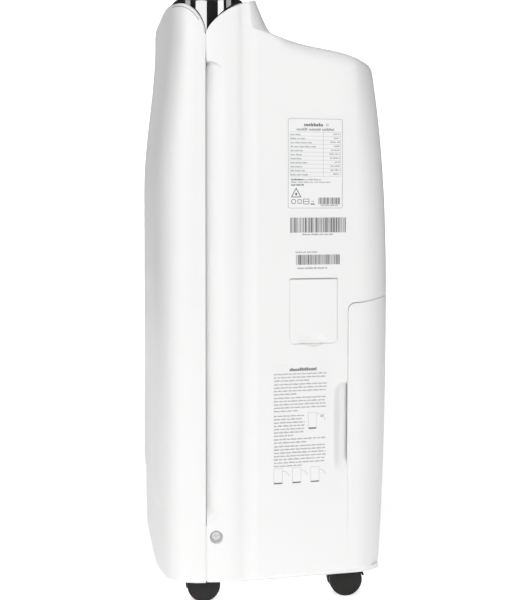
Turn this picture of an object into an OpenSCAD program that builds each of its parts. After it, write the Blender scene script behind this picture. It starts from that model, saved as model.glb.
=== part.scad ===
// Portable compressor dehumidifier on casters, as separate pieces.
// Millimetres, +Z up, front towards -Y, origin on the floor below the middle of the body.

/* [Body] */
// Width over the widest ridge of the sides
body_w = 360; // [340:1:380]
// Depth from the front of the bowed shell to the back of the tank
body_d = 246; // [236:1:256]
// Height of the white body's lower edge above the floor
body_z = 31; // [28:1:36]
// Height of the control deck above the floor
body_h = 617; // [610:1:630]
// Wall of the moulded shells
wall = 3; // [2.5:0.1:3.5]
// Gap along the seam between the two shells
seam_gap = 0.6; // [0.4:0.1:1]
// How far the front shell bows out from the seam
front_bow = 50; // [46:1:54]
// Radius of the rear vertical corners
corner_r = 44; // [40:1:48]

/* [Top] */
// Height where the two shells start to part, at the bottom of the side notch
notch_z = 580; // [572:1:586]
// Height of the shells' rims at the deck
rim_z = 611; // [608:1:614]
// Depth of the black core from front to back
core_d = 66; // [60:1:70]
// Width of the black core
core_w = 344; // [330:1:348]
// Height of the sloped shoulder where it meets the neck
shoulder_z = 578; // [570:1:582]
// Height of the sloped shoulder at the back
shoulder_back_z = 551; // [545:1:560]

/* [Water tank] */
// Height of the seam above the tank
tank_top_z = 309; // [300:1:316]
// Where the tank's side seam lies
tank_seam_y = 74; // [70:1:80]
// How far the tank slides out
tank_travel = 200; // [150:5:240]

/* [Side details] */
// Height of the lower end of the side scoop
scoop_low_z = 93; // [88:1:100]
// Height of the upper end of the side scoop
scoop_high_z = 552; // [545:1:560]
// Width of the drain cover
cover_w = 51; // [46:1:56]
// Height of the drain cover
cover_h = 66.6; // [60:0.2:70]
// Depth of the pocket behind the drain cover
pocket_depth = 32; // [30:1:36]
// Outer radius of the drain spigot that a hose pushes onto
spigot_r = 7; // [6:0.5:8]

/* [Casters] */
// Radius of the caster wheels
wheel_r = 17; // [15:0.5:18]
// Distance of each caster's swivel axis from the middle, sideways
caster_x = 127; // [120:1:130]
// Place of the front casters' swivel axes
caster_front_y = -64; // [-75:1:-55]
// Place of the rear casters' swivel axes
caster_rear_y = 69; // [68:1:72]

/* [Hidden] */
$fn = 64;

half_w = body_w / 2;
seam_y = front_bow - body_d / 2;
back_y = body_d / 2;
seam_x = half_w - 2;
ridge_y = seam_y + 21;
crease_y = seam_y + 37;
crease_x = half_w - 3.4;
face_y = seam_y + 53;
face_x = half_w - 4.2;
face_slope = 0.143;
face_angle = atan(face_slope);
deck_z = body_h;
core_y = seam_y + 8.5;
core_r = core_d / 2;
front_exponent = 3;

// ---- Plan and side outlines of the two shells ----
// Sideways reach of the side wall at place y, before the rear corner starts.
function column_x(y) = y < ridge_y ? half_w - 2 * pow((y - ridge_y) / 21, 2)
    : half_w - 3.4 * pow((y - ridge_y) / 16, 2);
function side_x(y) = y < crease_y ? column_x(y)
    : y < face_y ? crease_x + (face_x - crease_x) * (y - crease_y) / (face_y - crease_y)
    : face_x - face_slope * (y - face_y);

// Centre of the rear corner's arc, tangent to the tilted side face and to the back.
corner_cy = back_y - corner_r;
corner_cx = face_x - face_slope * (corner_cy - face_y) - corner_r / cos(face_angle);

function mirrored(pts) = concat(pts, [for (i = [len(pts) - 1:-1:0]) [-pts[i].x, pts[i].y]]);
// Right half of the rear outline, pulled in by inset.
function rear_half(inset, y0) = concat(
    [for (y = [y0, ridge_y - 14, ridge_y - 7, ridge_y, ridge_y + 4, ridge_y + 8, ridge_y + 12, crease_y])
        [column_x(y) - inset, y]],
    [[face_x - inset, face_y]],
    [for (i = [0:8]) let (a = face_angle + (90 - face_angle) * i / 8)
        [corner_cx + (corner_r - inset) * cos(a), corner_cy + (corner_r - inset) * sin(a)]]);
// Outline of the neck above the shoulder, with its own rear corners.
function neck_half(inset, y0) = concat(
    [for (y = [y0, ridge_y - 14, ridge_y - 7, ridge_y, ridge_y + 5, ridge_y + 10])
        [column_x(y) - inset, y]],
    [for (i = [1:6]) let (a = 90 * i / 6)
        [column_x(ridge_y + 10) - 40 + (40 - inset) * cos(a), ridge_y + 10 + (44 - inset) * sin(a)]]);
// Front outline at one height: a superellipse that bows out by bow.
function front_outline(half, bow, steps) = [for (i = [0:steps]) let (a = 180 * i / steps,
    c = cos(a), s = sin(a)) [half * sign(c) * pow(abs(c), 2 / front_exponent),
    seam_y - bow * pow(s, 2 / front_exponent)]];
// How far the front stands out from the seam at height z.
bow_top_z = 395;
bow_low_z = 112;
function bow_at(z) = z > bow_top_z ? front_bow - 22 * pow((z - bow_top_z) / 221, 2.2)
    : z < bow_low_z ? front_bow - 4 * pow((bow_low_z - z) / 81, 1.5) : front_bow;
// Back of the body at height z.
function back_at(z) = z > tank_top_z ? back_y - 13 * pow((z - tank_top_z) / 221, 2.4)
    : back_y - 8 * pow((tank_top_z - z) / 278, 2);
// Height of the notch's edge at a distance s from the seam.
function notch_edge(s, reach, power) =
    notch_z + (rim_z - notch_z) * pow(1 - pow(max(0, 1 - s / reach), power), 1 / power);
notch_front_reach = 31;
notch_rear_reach = 44;
shoulder_y0 = seam_y + 75;
shoulder_y1 = back_y - 22;

// Side profile of the rear body in (y, z), pulled in by inset.
function rear_profile(inset, y0, z0) = concat(
    [[y0, z0], [y0, deck_z - 3 - inset], [seam_y + 58 - inset, deck_z - 3 - inset],
     [seam_y + 63 - inset, 599], [seam_y + 67 - inset, 588], [seam_y + 71 - inset, 581 - inset]],
    [[shoulder_y0, shoulder_z - inset], [shoulder_y1 - inset, shoulder_back_z - inset]],
    [for (i = [1:4]) let (a = 75 - 17 * i)
        [shoulder_y1 - 4 - inset + 12 * cos(a), shoulder_back_z - 12 - inset + 12 * sin(a)]],
    [for (z = [520:-30:100]) [back_at(z) - inset, z]], [[back_at(z0) - inset, z0]]);

module slab_yz(pts, half) {
    rotate([90, 0, 90]) linear_extrude(2 * half, center = true) polygon(pts);
}

// Solid inside the rear outline, pulled in by inset; y0 is where it starts.
module rear_solid(inset, y0, z0) {
    intersection() {
        translate([0, 0, z0]) linear_extrude(deck_z) polygon(mirrored(rear_half(inset, y0)));
        slab_yz(rear_profile(inset, y0, z0), half_w + 20);
        union() {
            translate([-half_w - 10, y0 - 1, z0]) cube([2 * half_w + 20, body_d, shoulder_z - z0 - inset]);
            translate([0, 0, shoulder_z - inset - 1])
                linear_extrude(80) polygon(mirrored(neck_half(inset, y0)));
        }
    }
}

// Lower part of the rear body between two heights, below the shoulder.
module lower_solid(inset, y0, z0, z1) {
    heights = [for (i = [0:10]) z0 + (z1 - z0) * i / 10];
    intersection() {
        translate([0, 0, z0]) linear_extrude(z1 - z0) polygon(mirrored(rear_half(inset, seam_y)));
        slab_yz(concat([[y0, z0 - 5], [y0, z1 + 5], [back_at(z1) - inset, z1 + 5]],
            [for (i = [10:-1:0]) [back_at(heights[i]) - inset, heights[i]]],
            [[back_at(z0) - inset, z0 - 5]]), half_w + 20);
    }
}

// Cutter above the notch's edge; side is -1 for the front shell and 1 for the rear one.
module notch_cutter(side, reach, power) {
    steps = 14;
    low = [for (i = [0:steps]) let (s = reach * pow(i / steps, 1.6))
        [seam_y + side * s, notch_edge(s, reach, power)]];
    slab_yz(concat([[seam_y - side * 10, notch_z]], low, [[seam_y + side * reach, deck_z + 30],
        [seam_y - side * 10, deck_z + 30]]), half_w + 20);
}

// Frame on the tilted side face: local +X points out of the face, local Y runs along it.
module on_face(y, z) {
    translate([side_x(y), y, z]) rotate([0, 0, face_angle]) children();
}

module rounded_plate(w, h, t, r) {
    // A plate in local Y and Z, t thick along local X, from its back at x = 0.
    rotate([90, 0, 90]) linear_extrude(t) {
        translate([-w / 2 + r, -h / 2]) square([w - 2 * r, h]);
        translate([-w / 2, -h / 2 + r]) square([w, h - 2 * r]);
        for (x = [-1, 1], y = [-1, 1]) translate([x * (w / 2 - r), y * (h / 2 - r)]) circle(r);
    }
}

// ---- Shells ----
shell_bottom = body_z;
screw_y = seam_y + 10;
screw_z = 77;
grip_low_z = 137;
grip_high_z = 229;
grip_y = tank_seam_y - 15;
grip_floor_x = 140;
cover_y = 37.5;
cover_z = 301.3;
grille_w = 232;
grille_low_z = 330;
grille_high_z = 536;
gland_y = 30;
gland_z = 96;
gland_r = 8.9;

module front_loft(inset, z0, z1) {
    levels = [z0, 52, 80, bow_low_z, 200, 300, bow_top_z, 440, 480, 515, 545, 572, 592, z1];
    hull() for (z = levels)
        translate([0, 0, z]) linear_extrude(0.02)
            polygon(front_outline(seam_x - inset, bow_at(z) - inset, 36));
}

module front_shell() {
    color("white") difference() {
        front_loft(0, shell_bottom, rim_z);
        translate([0, seam_gap / 2, 0]) front_loft(wall, shell_bottom - 2, rim_z + 3);
        translate([-half_w - 5, seam_y - seam_gap / 2, 0]) cube([body_w + 10, 10, deck_z]);
        notch_cutter(-1, notch_front_reach, 1.85);
    }
}

module side_scoop() {
    // A shallow wedge that is deepest at the seam, with an arched upper end.
    y0 = seam_y - 1;
    reach = 18;
    depth = 7;
    intersection() {
        translate([0, 0, scoop_low_z]) linear_extrude(scoop_high_z - scoop_low_z)
            polygon([[seam_x - depth, y0], [half_w + 5, y0], [half_w + 5, seam_y + reach],
                [column_x(seam_y + reach), seam_y + reach], [seam_x - depth + 1.5, seam_y + 6]]);
        union() {
            translate([100, y0, scoop_low_z]) cube([100, 30, scoop_high_z - scoop_low_z - reach]);
            translate([100, seam_y, scoop_high_z - reach]) rotate([0, 90, 0]) cylinder(r = reach, h = 100);
        }
    }
}

module screw_pocket() {
    translate([half_w - 9, screw_y, screw_z]) rotate([0, 90, 0]) cylinder(r = 6.5, h = 20);
    translate([half_w - 30, screw_y, screw_z]) rotate([0, 90, 0]) cylinder(r = 2.2, h = 40);
}

module grip_pocket() {
    translate([grip_floor_x + 3, grip_y, grip_low_z]) cube([60, 40, grip_high_z - grip_low_z - 14]);
    translate([grip_floor_x + 3, grip_y + 14, grip_high_z - 20]) cube([60, 26, 20]);
    translate([grip_floor_x + 3, grip_y + 14, grip_high_z - 14]) rotate([0, 90, 0]) cylinder(r = 14, h = 60);
}

module rear_shell() {
    y0 = seam_y + seam_gap / 2;
    color("white") difference() {
        rear_solid(0, y0, shell_bottom);
        // Hollow of the body.
        difference() {
            rear_solid(wall, y0 - 1, shell_bottom - 5);
            for (m = [0, 1]) mirror([m, 0, 0]) {
                // The wall is thicker behind the scoops, in front of the crease.
                translate([half_w - 13, y0 - 2, 0]) cube([20, 30, notch_z - 24]);
                // Backing of the finger recess beside the tank.
                intersection() {
                    translate([grip_floor_x, grip_y - 3, grip_low_z - 3])
                        cube([60, tank_seam_y - grip_y + 3 - 0.4, grip_high_z - grip_low_z + 6]);
                    rear_solid(wall - 0.5, y0, shell_bottom);
                }
            }
            // Boss around the pocket behind the drain cover.
            on_face(cover_y, cover_z)
                translate([-pocket_depth - 2.5, -cover_w / 2 - 3, -cover_h / 2 - 3])
                cube([pocket_depth, cover_w + 6, cover_h + 6]);
        }
        for (m = [0, 1]) mirror([m, 0, 0]) {
            side_scoop();
            screw_pocket();
            grip_pocket();
        }
        notch_cutter(1, notch_rear_reach, 1.5);
        // Neck opening around the core and the air duct.
        translate([0, 0, notch_z - 12]) core_outline(0.8, 60);
        // Tank bay.
        translate([-half_w - 5, tank_seam_y - 0.4, 0]) cube([body_w + 10, body_d, tank_top_z + 0.4]);
        // Opening behind the intake grille.
        translate([-grille_w / 2, 60, grille_low_z]) cube([grille_w, 100, grille_high_z - grille_low_z]);
        // Rebate and pocket of the drain cover.
        on_face(cover_y, cover_z) {
            translate([-rebate, 0, 0]) rounded_plate(cover_w, cover_h, 10, 5);
            translate([-rebate, -cover_w / 2, 0]) cube([10, cover_w, cover_h / 2]);
            translate([-pocket_depth, -cover_w / 2 + 4, -cover_h / 2 + 5])
                cube([pocket_depth + 5, cover_w - 8, cover_h - 10]);
            translate([-pocket_depth - 5, 0, -10]) rotate([0, 90, 0]) cylinder(r = 5.05, h = 8);
        }
        // Cord entry on the far side.
        mirror([1, 0, 0]) on_face(gland_y, gland_z) translate([-20, 0, 0]) rotate([0, 90, 0])
            cylinder(r = gland_r + 0.1, h = 40);
    }
}

// Black core, grown by extra and h tall: a stadium whose front corners clear the front shell's rim.
module core_outline(extra, h) {
    half = core_w / 2 - core_r;
    gap = wall + 0.8 - extra;
    intersection() {
        union() {
            translate([-half, core_y - core_r - extra, 0]) cube([2 * half, core_d + 2 * extra, h]);
            for (x = [-half, half]) translate([x, core_y, 0]) cylinder(r = core_r + extra, h = h);
        }
        linear_extrude(h) union() {
            polygon(front_outline(seam_x - gap, bow_at(rim_z) - gap, 40));
            translate([-half_w, seam_y - 0.01]) square([body_w, body_d]);
        }
    }
}

// ---- Control deck ----
outlet_w = 220;
outlet_y0 = core_y + 2;
outlet_d = 26;
core_bottom_z = notch_z - 10;
button_count = 5;
button_pitch = 24;
button_y = core_y - 17;
button_r = 6;
lens_x = 84;

function button_x(i) = (i - 2) * button_pitch - 30;

module control_deck() {
    color("black") difference() {
        translate([0, 0, core_bottom_z]) core_outline(0, deck_z - core_bottom_z);
        translate([0, 0, core_bottom_z - 1]) core_outline(-3, deck_z - core_bottom_z - 3);
        translate([-outlet_w / 2, outlet_y0, deck_z - 10]) cube([outlet_w, outlet_d, 20]);
        for (i = [0:button_count - 1])
            translate([button_x(i), button_y, deck_z - 10]) cylinder(r = button_r + 0.3, h = 20);
        // Way in for the air duct through the rear wall.
        translate([-outlet_w / 2 - 4, core_y, core_bottom_z - 1]) cube([outlet_w + 8, core_r + 5, 27]);
        // Seat of the display window.
        translate([lens_x - 26, button_y - 9, deck_z - 1.5]) cube([52, 18, 5]);
        translate([lens_x - 22, button_y - 6, deck_z - 10]) cube([44, 12, 20]);
    }
}

module display_lens() {
    color("dimgray") translate([lens_x - 25.8, button_y - 8.8, deck_z - 1.5]) cube([51.6, 17.6, 1.4]);
}

module button(i) {
    color("gray") translate([button_x(i), button_y, deck_z - 6]) {
        cylinder(r = button_r, h = 6.6);
        translate([0, 0, -0.8]) cylinder(r = button_r + 1.4, h = 1.6);
    }
}

module control_board() {
    color("green") translate([-150 / 2 - 25, button_y - 10, deck_z - 12]) cube([210, 17, 1.6]);
}

grille_z = deck_z - 14;
module outlet_grille() {
    color("black") difference() {
        translate([-outlet_w / 2 - 4, outlet_y0 - 1, grille_z - 6]) cube([outlet_w + 8, outlet_d + 2, 6]);
        for (i = [0:27]) translate([-outlet_w / 2 + 2 + i * 7.78, outlet_y0 + 1.5, grille_z - 10])
            cube([5.8, outlet_d - 3, 20]);
    }
}

hinge_y = outlet_y0 + outlet_d - 2.3;
hinge_z = deck_z - 1.8;
module louver() {
    color("black") {
        translate([-outlet_w / 2 + 0.6, outlet_y0 + 0.5, deck_z - 2.2])
            cube([outlet_w - 1.2, hinge_y - outlet_y0 - 0.5, 2]);
        translate([-outlet_w / 2 + 0.6, hinge_y, hinge_z]) rotate([0, 90, 0])
            cylinder(r = 1.6, h = outlet_w - 1.2);
    }
}

module louver_motor() {
    color("silver") translate([outlet_w / 2 + 8, hinge_y - 6, hinge_z - 13]) rotate([0, 90, 0])
        cylinder(r = 8, h = 14);
}

// ---- Labels on the right side ----
sticker_t = 0.3;
// A w by h sticker, just clear of the face, with corners of radius r.
module sticker(y, z, w, h, r) {
    color("whitesmoke") on_face(y, z) translate([0.01, 0, 0]) rounded_plate(w, h, sticker_t, r);
}
module rating_label() { sticker(39, 450.8, 59, 91.5, 2.5); }
module bar_sticker_upper() { sticker(42, 387.5, 62, 19, 0.8); }
module bar_sticker_lower() { sticker(42, 353.5, 48.5, 11, 0.8); }
module notice_label() { sticker(23.5, 186, 60, 124, 1); }

// ---- Continuous drain ----
cover_t = 2.2;
barrel_r = 1.3;
rebate = 2 * barrel_r + 0.3;
cover_hinge_z = cover_h / 2 - 0.6 - barrel_r;
dimple_r = 31.5;
module drain_cover() {
    plate_h = cover_hinge_z + cover_h / 2 - 0.7;
    color("white") on_face(cover_y, cover_z) difference() {
        union() {
            translate([-cover_t, 0, cover_hinge_z - plate_h / 2])
                rounded_plate(cover_w - 0.8, plate_h, cover_t, 4.6);
            // Square upper corners and the hinge barrel.
            translate([-cover_t, -cover_w / 2 + 0.4, cover_hinge_z - 8]) cube([cover_t, cover_w - 0.8, 8]);
            translate([-barrel_r, -cover_w / 2 + 0.8, cover_hinge_z]) rotate([-90, 0, 0])
                cylinder(r = barrel_r, h = cover_w - 1.6);
        }
        // Finger dimple at the lower edge.
        translate([dimple_r - 2.5, 0, -cover_h / 2 - 1]) sphere(r = dimple_r);
    }
}

spout_z = -10;
module drain_spout() {
    color("gainsboro") on_face(cover_y, cover_z) translate([-pocket_depth, 0, spout_z])
        rotate([0, 90, 0]) difference() {
            union() {
                translate([0, 0, -12]) cylinder(r = 5, h = 14);
                translate([0, 0, 0.05]) cylinder(r = spigot_r, h = 18);
                translate([0, 0, 0.05]) cylinder(r = spigot_r + 3, h = 2);
            }
            translate([0, 0, -20]) cylinder(r = 3.2, h = 60);
        }
}

module drain_plug() {
    color("dimgray") on_face(cover_y, cover_z) translate([-pocket_depth + 18.1, 0, spout_z])
        rotate([0, 90, 0]) {
            translate([0, 0, -7]) cylinder(r = 3.14, h = 8);
            cylinder(r = spigot_r - 0.6, h = 2);
        }
}

// ---- Water tank ----
tank_low_z = body_z + 2;
bucket_low_z = 50;
bucket_high_z = 292;
bucket_half = 116;
bucket_y0 = 44;
bucket_y1 = 110;
bucket_t = 2.5;
pivot_y = bucket_y0 + 16;
pivot_z = 236;
pivot_half = 24;

module tank_front() {
    y0 = tank_seam_y + 0.3;
    z1 = tank_top_z - 0.4;
    color("white") {
        difference() {
            lower_solid(0, y0, tank_low_z, z1);
            lower_solid(wall, y0 - 4, tank_low_z - 4, z1 + 4);
        }
        // Ribs that hold the bucket.
        for (x = [-90, 0, 90]) translate([x, 0, 0])
            slab_yz(concat([[bucket_y1, 60], [bucket_y1, 280]],
                [for (z = [280:-44:60]) [back_at(z) - wall + 0.4, z]]), 3);
    }
}

module tank_bucket() {
    depth = bucket_y1 - bucket_y0;
    color("lightblue") {
        difference() {
            translate([-bucket_half, bucket_y0, bucket_low_z])
                cube([2 * bucket_half, depth, bucket_high_z - bucket_low_z]);
            translate([-bucket_half + bucket_t, bucket_y0 + bucket_t, bucket_low_z + bucket_t])
                cube([2 * (bucket_half - bucket_t), depth - 2 * bucket_t, 300]);
        }
        // Lugs and pivot pin of the float.
        for (x = [-pivot_half - 3, pivot_half]) translate([x, bucket_y0 + bucket_t - 0.5, pivot_z - 5])
            cube([3, pivot_y - bucket_y0 - bucket_t + 5, 10]);
        translate([-pivot_half - 1, pivot_y, pivot_z]) rotate([0, 90, 0])
            cylinder(r = 2, h = 2 * pivot_half + 2);
    }
}

module tank_lid() {
    color("gainsboro") difference() {
        translate([-bucket_half - 1, bucket_y0 - 1, bucket_high_z])
            cube([2 * bucket_half + 2, bucket_y1 - bucket_y0 + 1, 6]);
        translate([-bucket_half + 3, bucket_y0 + 3, bucket_high_z - 3])
            cube([2 * bucket_half - 6, bucket_y1 - bucket_y0 - 6, 6]);
        // Drip and pouring opening.
        translate([15, bucket_y0 + 12, bucket_high_z - 5]) cube([85, 42, 20]);
    }
}

module float_arm() {
    color("orange") translate([0, pivot_y, pivot_z]) difference() {
        union() {
            rotate([0, 90, 0]) cylinder(r = 4, h = 2 * pivot_half - 1, center = true);
            translate([-6, 0, -2]) cube([12, 18, 4]);
            translate([-20, 16, -12]) cube([40, 26, 20]);
        }
        rotate([0, 90, 0]) cylinder(r = 2.05, h = 80, center = true);
    }
}

// ---- Base, frame and tank switch ----
tray_t = 5;
tray_z0 = body_z - 1.2;
well_r = 27;
well_roof = 40;
socket_top = 56;
stem_r = 4;
module tray_outline(inset) {
    polygon(front_outline(seam_x - inset, bow_at(body_z) - inset, 32));
    difference() {
        intersection() {
            polygon(mirrored(rear_half(inset, seam_y)));
            translate([-200, seam_y - 0.5]) square([400, back_at(body_z) - inset - seam_y]);
        }
        // Room for the thick walls beside the scoops.
        for (m = [0, 1]) mirror([m, 0]) translate([half_w - 10.5 - inset, seam_y - 1]) square([50, 33]);
    }
}

module at_casters() {
    for (sx = [-1, 1]) {
        translate([sx * caster_x, caster_front_y, 0]) children();
        translate([sx * caster_x, caster_rear_y, 0]) children();
    }
}

module base_tray() {
    color("white") difference() {
        union() {
            translate([0, 0, tray_z0]) linear_extrude(tray_t) tray_outline(4);
            // Upstand around the machine space.
            difference() {
                translate([0, 0, tray_z0 + 1]) linear_extrude(19) tray_outline(4.5);
                translate([0, 0, tray_z0 + 1]) linear_extrude(30) tray_outline(7);
                translate([-200, chassis_y - 3, tray_z0 + tray_t]) cube([400, 200, 40]);
            }
            at_casters() {
                translate([0, 0, tray_z0]) cylinder(r = well_r + 2, h = well_roof + 3 - tray_z0);
                translate([0, 0, well_roof]) cylinder(r = 9, h = socket_top - well_roof);
            }
            for (p = compressor_feet_at()) translate([p.x, p.y, tray_z0]) cylinder(r = 3, h = 36);
        }
        at_casters() {
            translate([0, 0, tray_z0 - 1]) cylinder(r = well_r, h = well_roof - tray_z0 + 1);
            translate([0, 0, tray_z0]) cylinder(r = stem_r + 0.05, h = socket_top - tray_z0 - 2);
        }
    }
}

chassis_y = 36;
frame_half = 118;
shelf_z = tank_top_z + 3;
module chassis_wall() {
    color("silver") {
        translate([-frame_half, chassis_y, body_z + 4]) cube([2 * frame_half, 3, shelf_z - body_z - 4]);
        translate([-frame_half, chassis_y, shelf_z]) cube([2 * frame_half, 70, 2]);
    }
}

module tank_switch() {
    color("black") {
        translate([-120, chassis_y - 12, 262]) cube([20, 12, 12]);
    }
}

// ---- Air path ----
tray_z = shelf_z + 2;
module drip_tray() {
    color("gainsboro") difference() {
        translate([-frame_half + 2, 44, tray_z]) cube([2 * frame_half - 4, 60, 16]);
        translate([-frame_half + 5, 47, tray_z + 2.5]) cube([2 * frame_half - 10, 54, 20]);
    }
}

coil_z = tray_z + 17;
coil_h = 196;
coil_w = 220;
fin_pitch = 5;
module coil(y, d, rows) {
    // Finned pack with a hairpin bend at each end of every second tube pair.
    color("silver") {
        translate([0, y, coil_z]) linear_extrude(coil_h) difference() {
            translate([-coil_w / 2, 0]) square([coil_w, d]);
            for (x = [-coil_w / 2 + 4:fin_pitch:coil_w / 2 - 6]) translate([x, -1]) square([3.4, 7]);
        }
        for (i = [0:rows - 1], s = [-1, 1]) translate([s * (coil_w / 2 - 0.5), y + d / 2, coil_z + 16 + i * 32])
            rotate([90, 0, 0]) rotate_extrude() translate([8, 0]) circle(r = 3);
    }
}
module evaporator() { coil(80, 20, 6); }
module condenser() { coil(50, 22, 6); }

module intake_grille() {
    low = grille_low_z + 0.5;
    high = grille_high_z - 0.5;
    span = high - low;
    steps = 12;
    heights = [for (i = [0:steps]) low + span * i / steps];
    color("white") {
        difference() {
            slab_yz(concat([for (z = heights) [back_at(z) - 0.2, z]],
                [for (i = [steps:-1:0]) [back_at(heights[i]) - 3.4, heights[i]]]), grille_w / 2 - 0.5);
            for (i = [0:15]) translate([-grille_w / 2 + 12, 90, grille_low_z + 14 + i * 11.4])
                cube([grille_w - 24, 60, 7]);
        }
        // Upright ribs behind the slots.
        for (x = [-70, 0, 70]) translate([x, 0, 0])
            slab_yz(concat([for (z = heights) [back_at(z) - 0.8, z]],
                [for (i = [steps:-1:0]) [back_at(heights[i]) - 3.2, heights[i]]]), 2);
    }
}

module filter_screen() {
    color("dimgray") difference() {
        translate([-108, 101.8, grille_low_z + 6]) cube([216, 2.4, 190]);
        for (i = [0:3], j = [0:3])
            translate([-104 + i * 53, 100, grille_low_z + 10 + j * 46]) cube([49, 10, 43]);
    }
    color("gray") translate([-104.5, 102.6, grille_low_z + 9.5]) cube([209, 0.8, 183]);
}

fan_y0 = -30;
fan_y1 = 34;
fan_z = 438;
fan_r = 84;
function scroll_r(a) = fan_r + 8 + 16 * a / 360;
function scroll_pts(extra) = [for (a = [0:12:348])
    [-(scroll_r(a) + extra) * cos(a - 90), (scroll_r(a) + extra) * sin(a - 90)]];
module scroll_2d(extra) {
    polygon(scroll_pts(extra));
    translate([8 - extra, 0]) square([100 + 2 * extra - 8, 118]);
}
module fan_scroll() {
    color("gainsboro") difference() {
        union() {
            translate([0, fan_y1, fan_z]) rotate([90, 0, 0]) linear_extrude(fan_y1 - fan_y0) scroll_2d(2.5);
            // Duct that leads forward and up to the outlet.
            slab_yz([[fan_y0, 500], [fan_y1, 500], [fan_y1, 536], [outlet_y0 + outlet_d + 1.6, grille_z - 8],
                [outlet_y0 - 2, grille_z - 8], [outlet_y0 - 2, 584], [fan_y0, 548]], outlet_w / 2 + 2.5);
        }
        translate([0, fan_y1 - 2.5, fan_z]) rotate([90, 0, 0]) linear_extrude(fan_y1 - fan_y0 - 5) scroll_2d(0);
        slab_yz([[fan_y0 + 2.5, 560], [fan_y0 + 2.5, 502.5], [fan_y1 - 2.5, 502.5], [fan_y1 - 2.5, 535],
            [outlet_y0 + outlet_d, 590], [outlet_y0 + outlet_d, 640], [outlet_y0, 640], [outlet_y0, 584]],
            outlet_w / 2);
        // Air inlet towards the coils and shaft hole towards the motor.
        translate([0, fan_y1 - 5, fan_z]) rotate([-90, 0, 0]) cylinder(r = 62, h = 20);
        translate([0, fan_y0 - 5, fan_z]) rotate([-90, 0, 0]) cylinder(r = 10, h = 20);
    }
}

module fan_wheel() {
    color("slategray") translate([0, fan_y0 + 7, fan_z]) rotate([-90, 0, 0]) difference() {
        union() {
            cylinder(r = 78, h = 3);
            cylinder(r = 9, h = 22);
            translate([0, 0, 44]) difference() {
                cylinder(r = 78, h = 3);
                translate([0, 0, -1]) cylinder(r = 66, h = 6);
            }
            for (i = [0:23]) rotate([0, 0, i * 15]) translate([71, 0, 1]) rotate([0, 0, 35])
                translate([-7, -0.8, 0]) cube([13, 1.6, 45]);
        }
        translate([0, 0, -1]) cylinder(r = 4.05, h = 30);
    }
}

module fan_motor() {
    color("dimgray") translate([0, fan_y0, fan_z]) rotate([90, 0, 0]) {
        translate([0, 0, 0.2]) cylinder(r = 36, h = 4);
        translate([0, 0, 4]) cylinder(r = 32, h = 30);
        translate([0, 0, -26]) cylinder(r = 4, h = 34);
    }
}

// ---- Refrigeration ----
comp_x = -50;
comp_y = -38;
comp_r = 54;
comp_z0 = 62;
comp_h = 178;
function compressor_feet_at() =
    [for (a = [30, 150, 270]) [comp_x + 70 * cos(a), comp_y + 62 * sin(a) + 4]];

module compressor() {
    color("black") translate([comp_x, comp_y, comp_z0]) {
        rotate_extrude() polygon(concat([[0, 0]], [for (a = [0:15:90]) [comp_r - 12 + 12 * sin(a), 12 - 12 * cos(a)]],
            [for (a = [0:15:90]) [comp_r - 18 + 18 * cos(a), comp_h - 18 + 18 * sin(a)]], [[0, comp_h]]));
        translate([0, 0, comp_h - 1]) cylinder(r = 16, h = 9);
    }
    color("black") difference() {
        union() for (p = compressor_feet_at()) {
            translate([p.x, p.y, comp_z0 - 4]) cylinder(r = 13, h = 4);
            d = [comp_x - p.x, comp_y - p.y];
            translate([p.x, p.y, comp_z0 - 4]) rotate([0, 0, atan2(d.y, d.x)])
                translate([0, -11, 0]) cube([norm(d), 22, 4.2]);
        }
        for (p = compressor_feet_at()) translate([p.x, p.y, comp_z0 - 8]) cylinder(r = 6, h = 20);
    }
}

module compressor_feet() {
    z0 = tray_z0 + tray_t;
    color("dimgray") for (p = compressor_feet_at()) translate([p.x, p.y, z0]) difference() {
        union() {
            cylinder(r = 11, h = comp_z0 - 4 - z0);
            cylinder(r = 5.9, h = comp_z0 - z0 + 1);
            translate([0, 0, comp_z0 - z0 + 0.25]) cylinder(r = 8, h = 3);
        }
        translate([0, 0, -1]) cylinder(r = 3.05, h = 60);
    }
}

acc_x = 42;
acc_y = -62;
module accumulator() {
    color("black") translate([acc_x, acc_y, 110]) rotate_extrude() polygon([[0, 0], [16, 3], [21, 12], [21, 98],
        [16, 112], [6, 118], [0, 118]]);
}

// Tube of radius r swept along a list of points, with flat rings that share the bend at each point.
function unit(v) = v / norm(v);
function ring(p, d, r) = let (u = unit(cross(d, [1, 1, 1])), v = cross(d, u))
    [for (i = [0:7]) p + r * (u * cos(i * 45) + v * sin(i * 45))];
module tube(path, r) {
    last = len(path) - 1;
    rings = [for (i = [0:last]) ring(path[i], unit(path[min(i + 1, last)] - path[max(i - 1, 0)]), r)];
    polyhedron([for (q = rings) each q], concat([[for (j = [0:7]) j]],
        [for (i = [0:last - 1], j = [0:7]) each [[i * 8 + j, i * 8 + 8 + j, i * 8 + (j + 1) % 8],
            [i * 8 + (j + 1) % 8, i * 8 + 8 + j, i * 8 + 8 + (j + 1) % 8]]], [[for (j = [7:-1:0]) last * 8 + j]]));
}
// Quarter bend from direction a to direction b around corner p, radius r.
function bend(p, a, b, r) = [for (t = [0:22.5:90]) p - a * r * (1 - sin(t)) + b * r * (1 - cos(t))];

module discharge_pipe() {
    color("peru") tube(concat([[comp_x, comp_y, comp_z0 + comp_h + 8.2]],
        bend([comp_x, comp_y, 290], [0, 0, 1], [-1, 0, 0], 14),
        bend([-128, comp_y, 290], [-1, 0, 0], [0, 0, 1], 14),
        bend([-128, comp_y, 500], [0, 0, 1], [0, 1, 0], 14),
        [[-128, 46, 500]]), 4);
}

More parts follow.
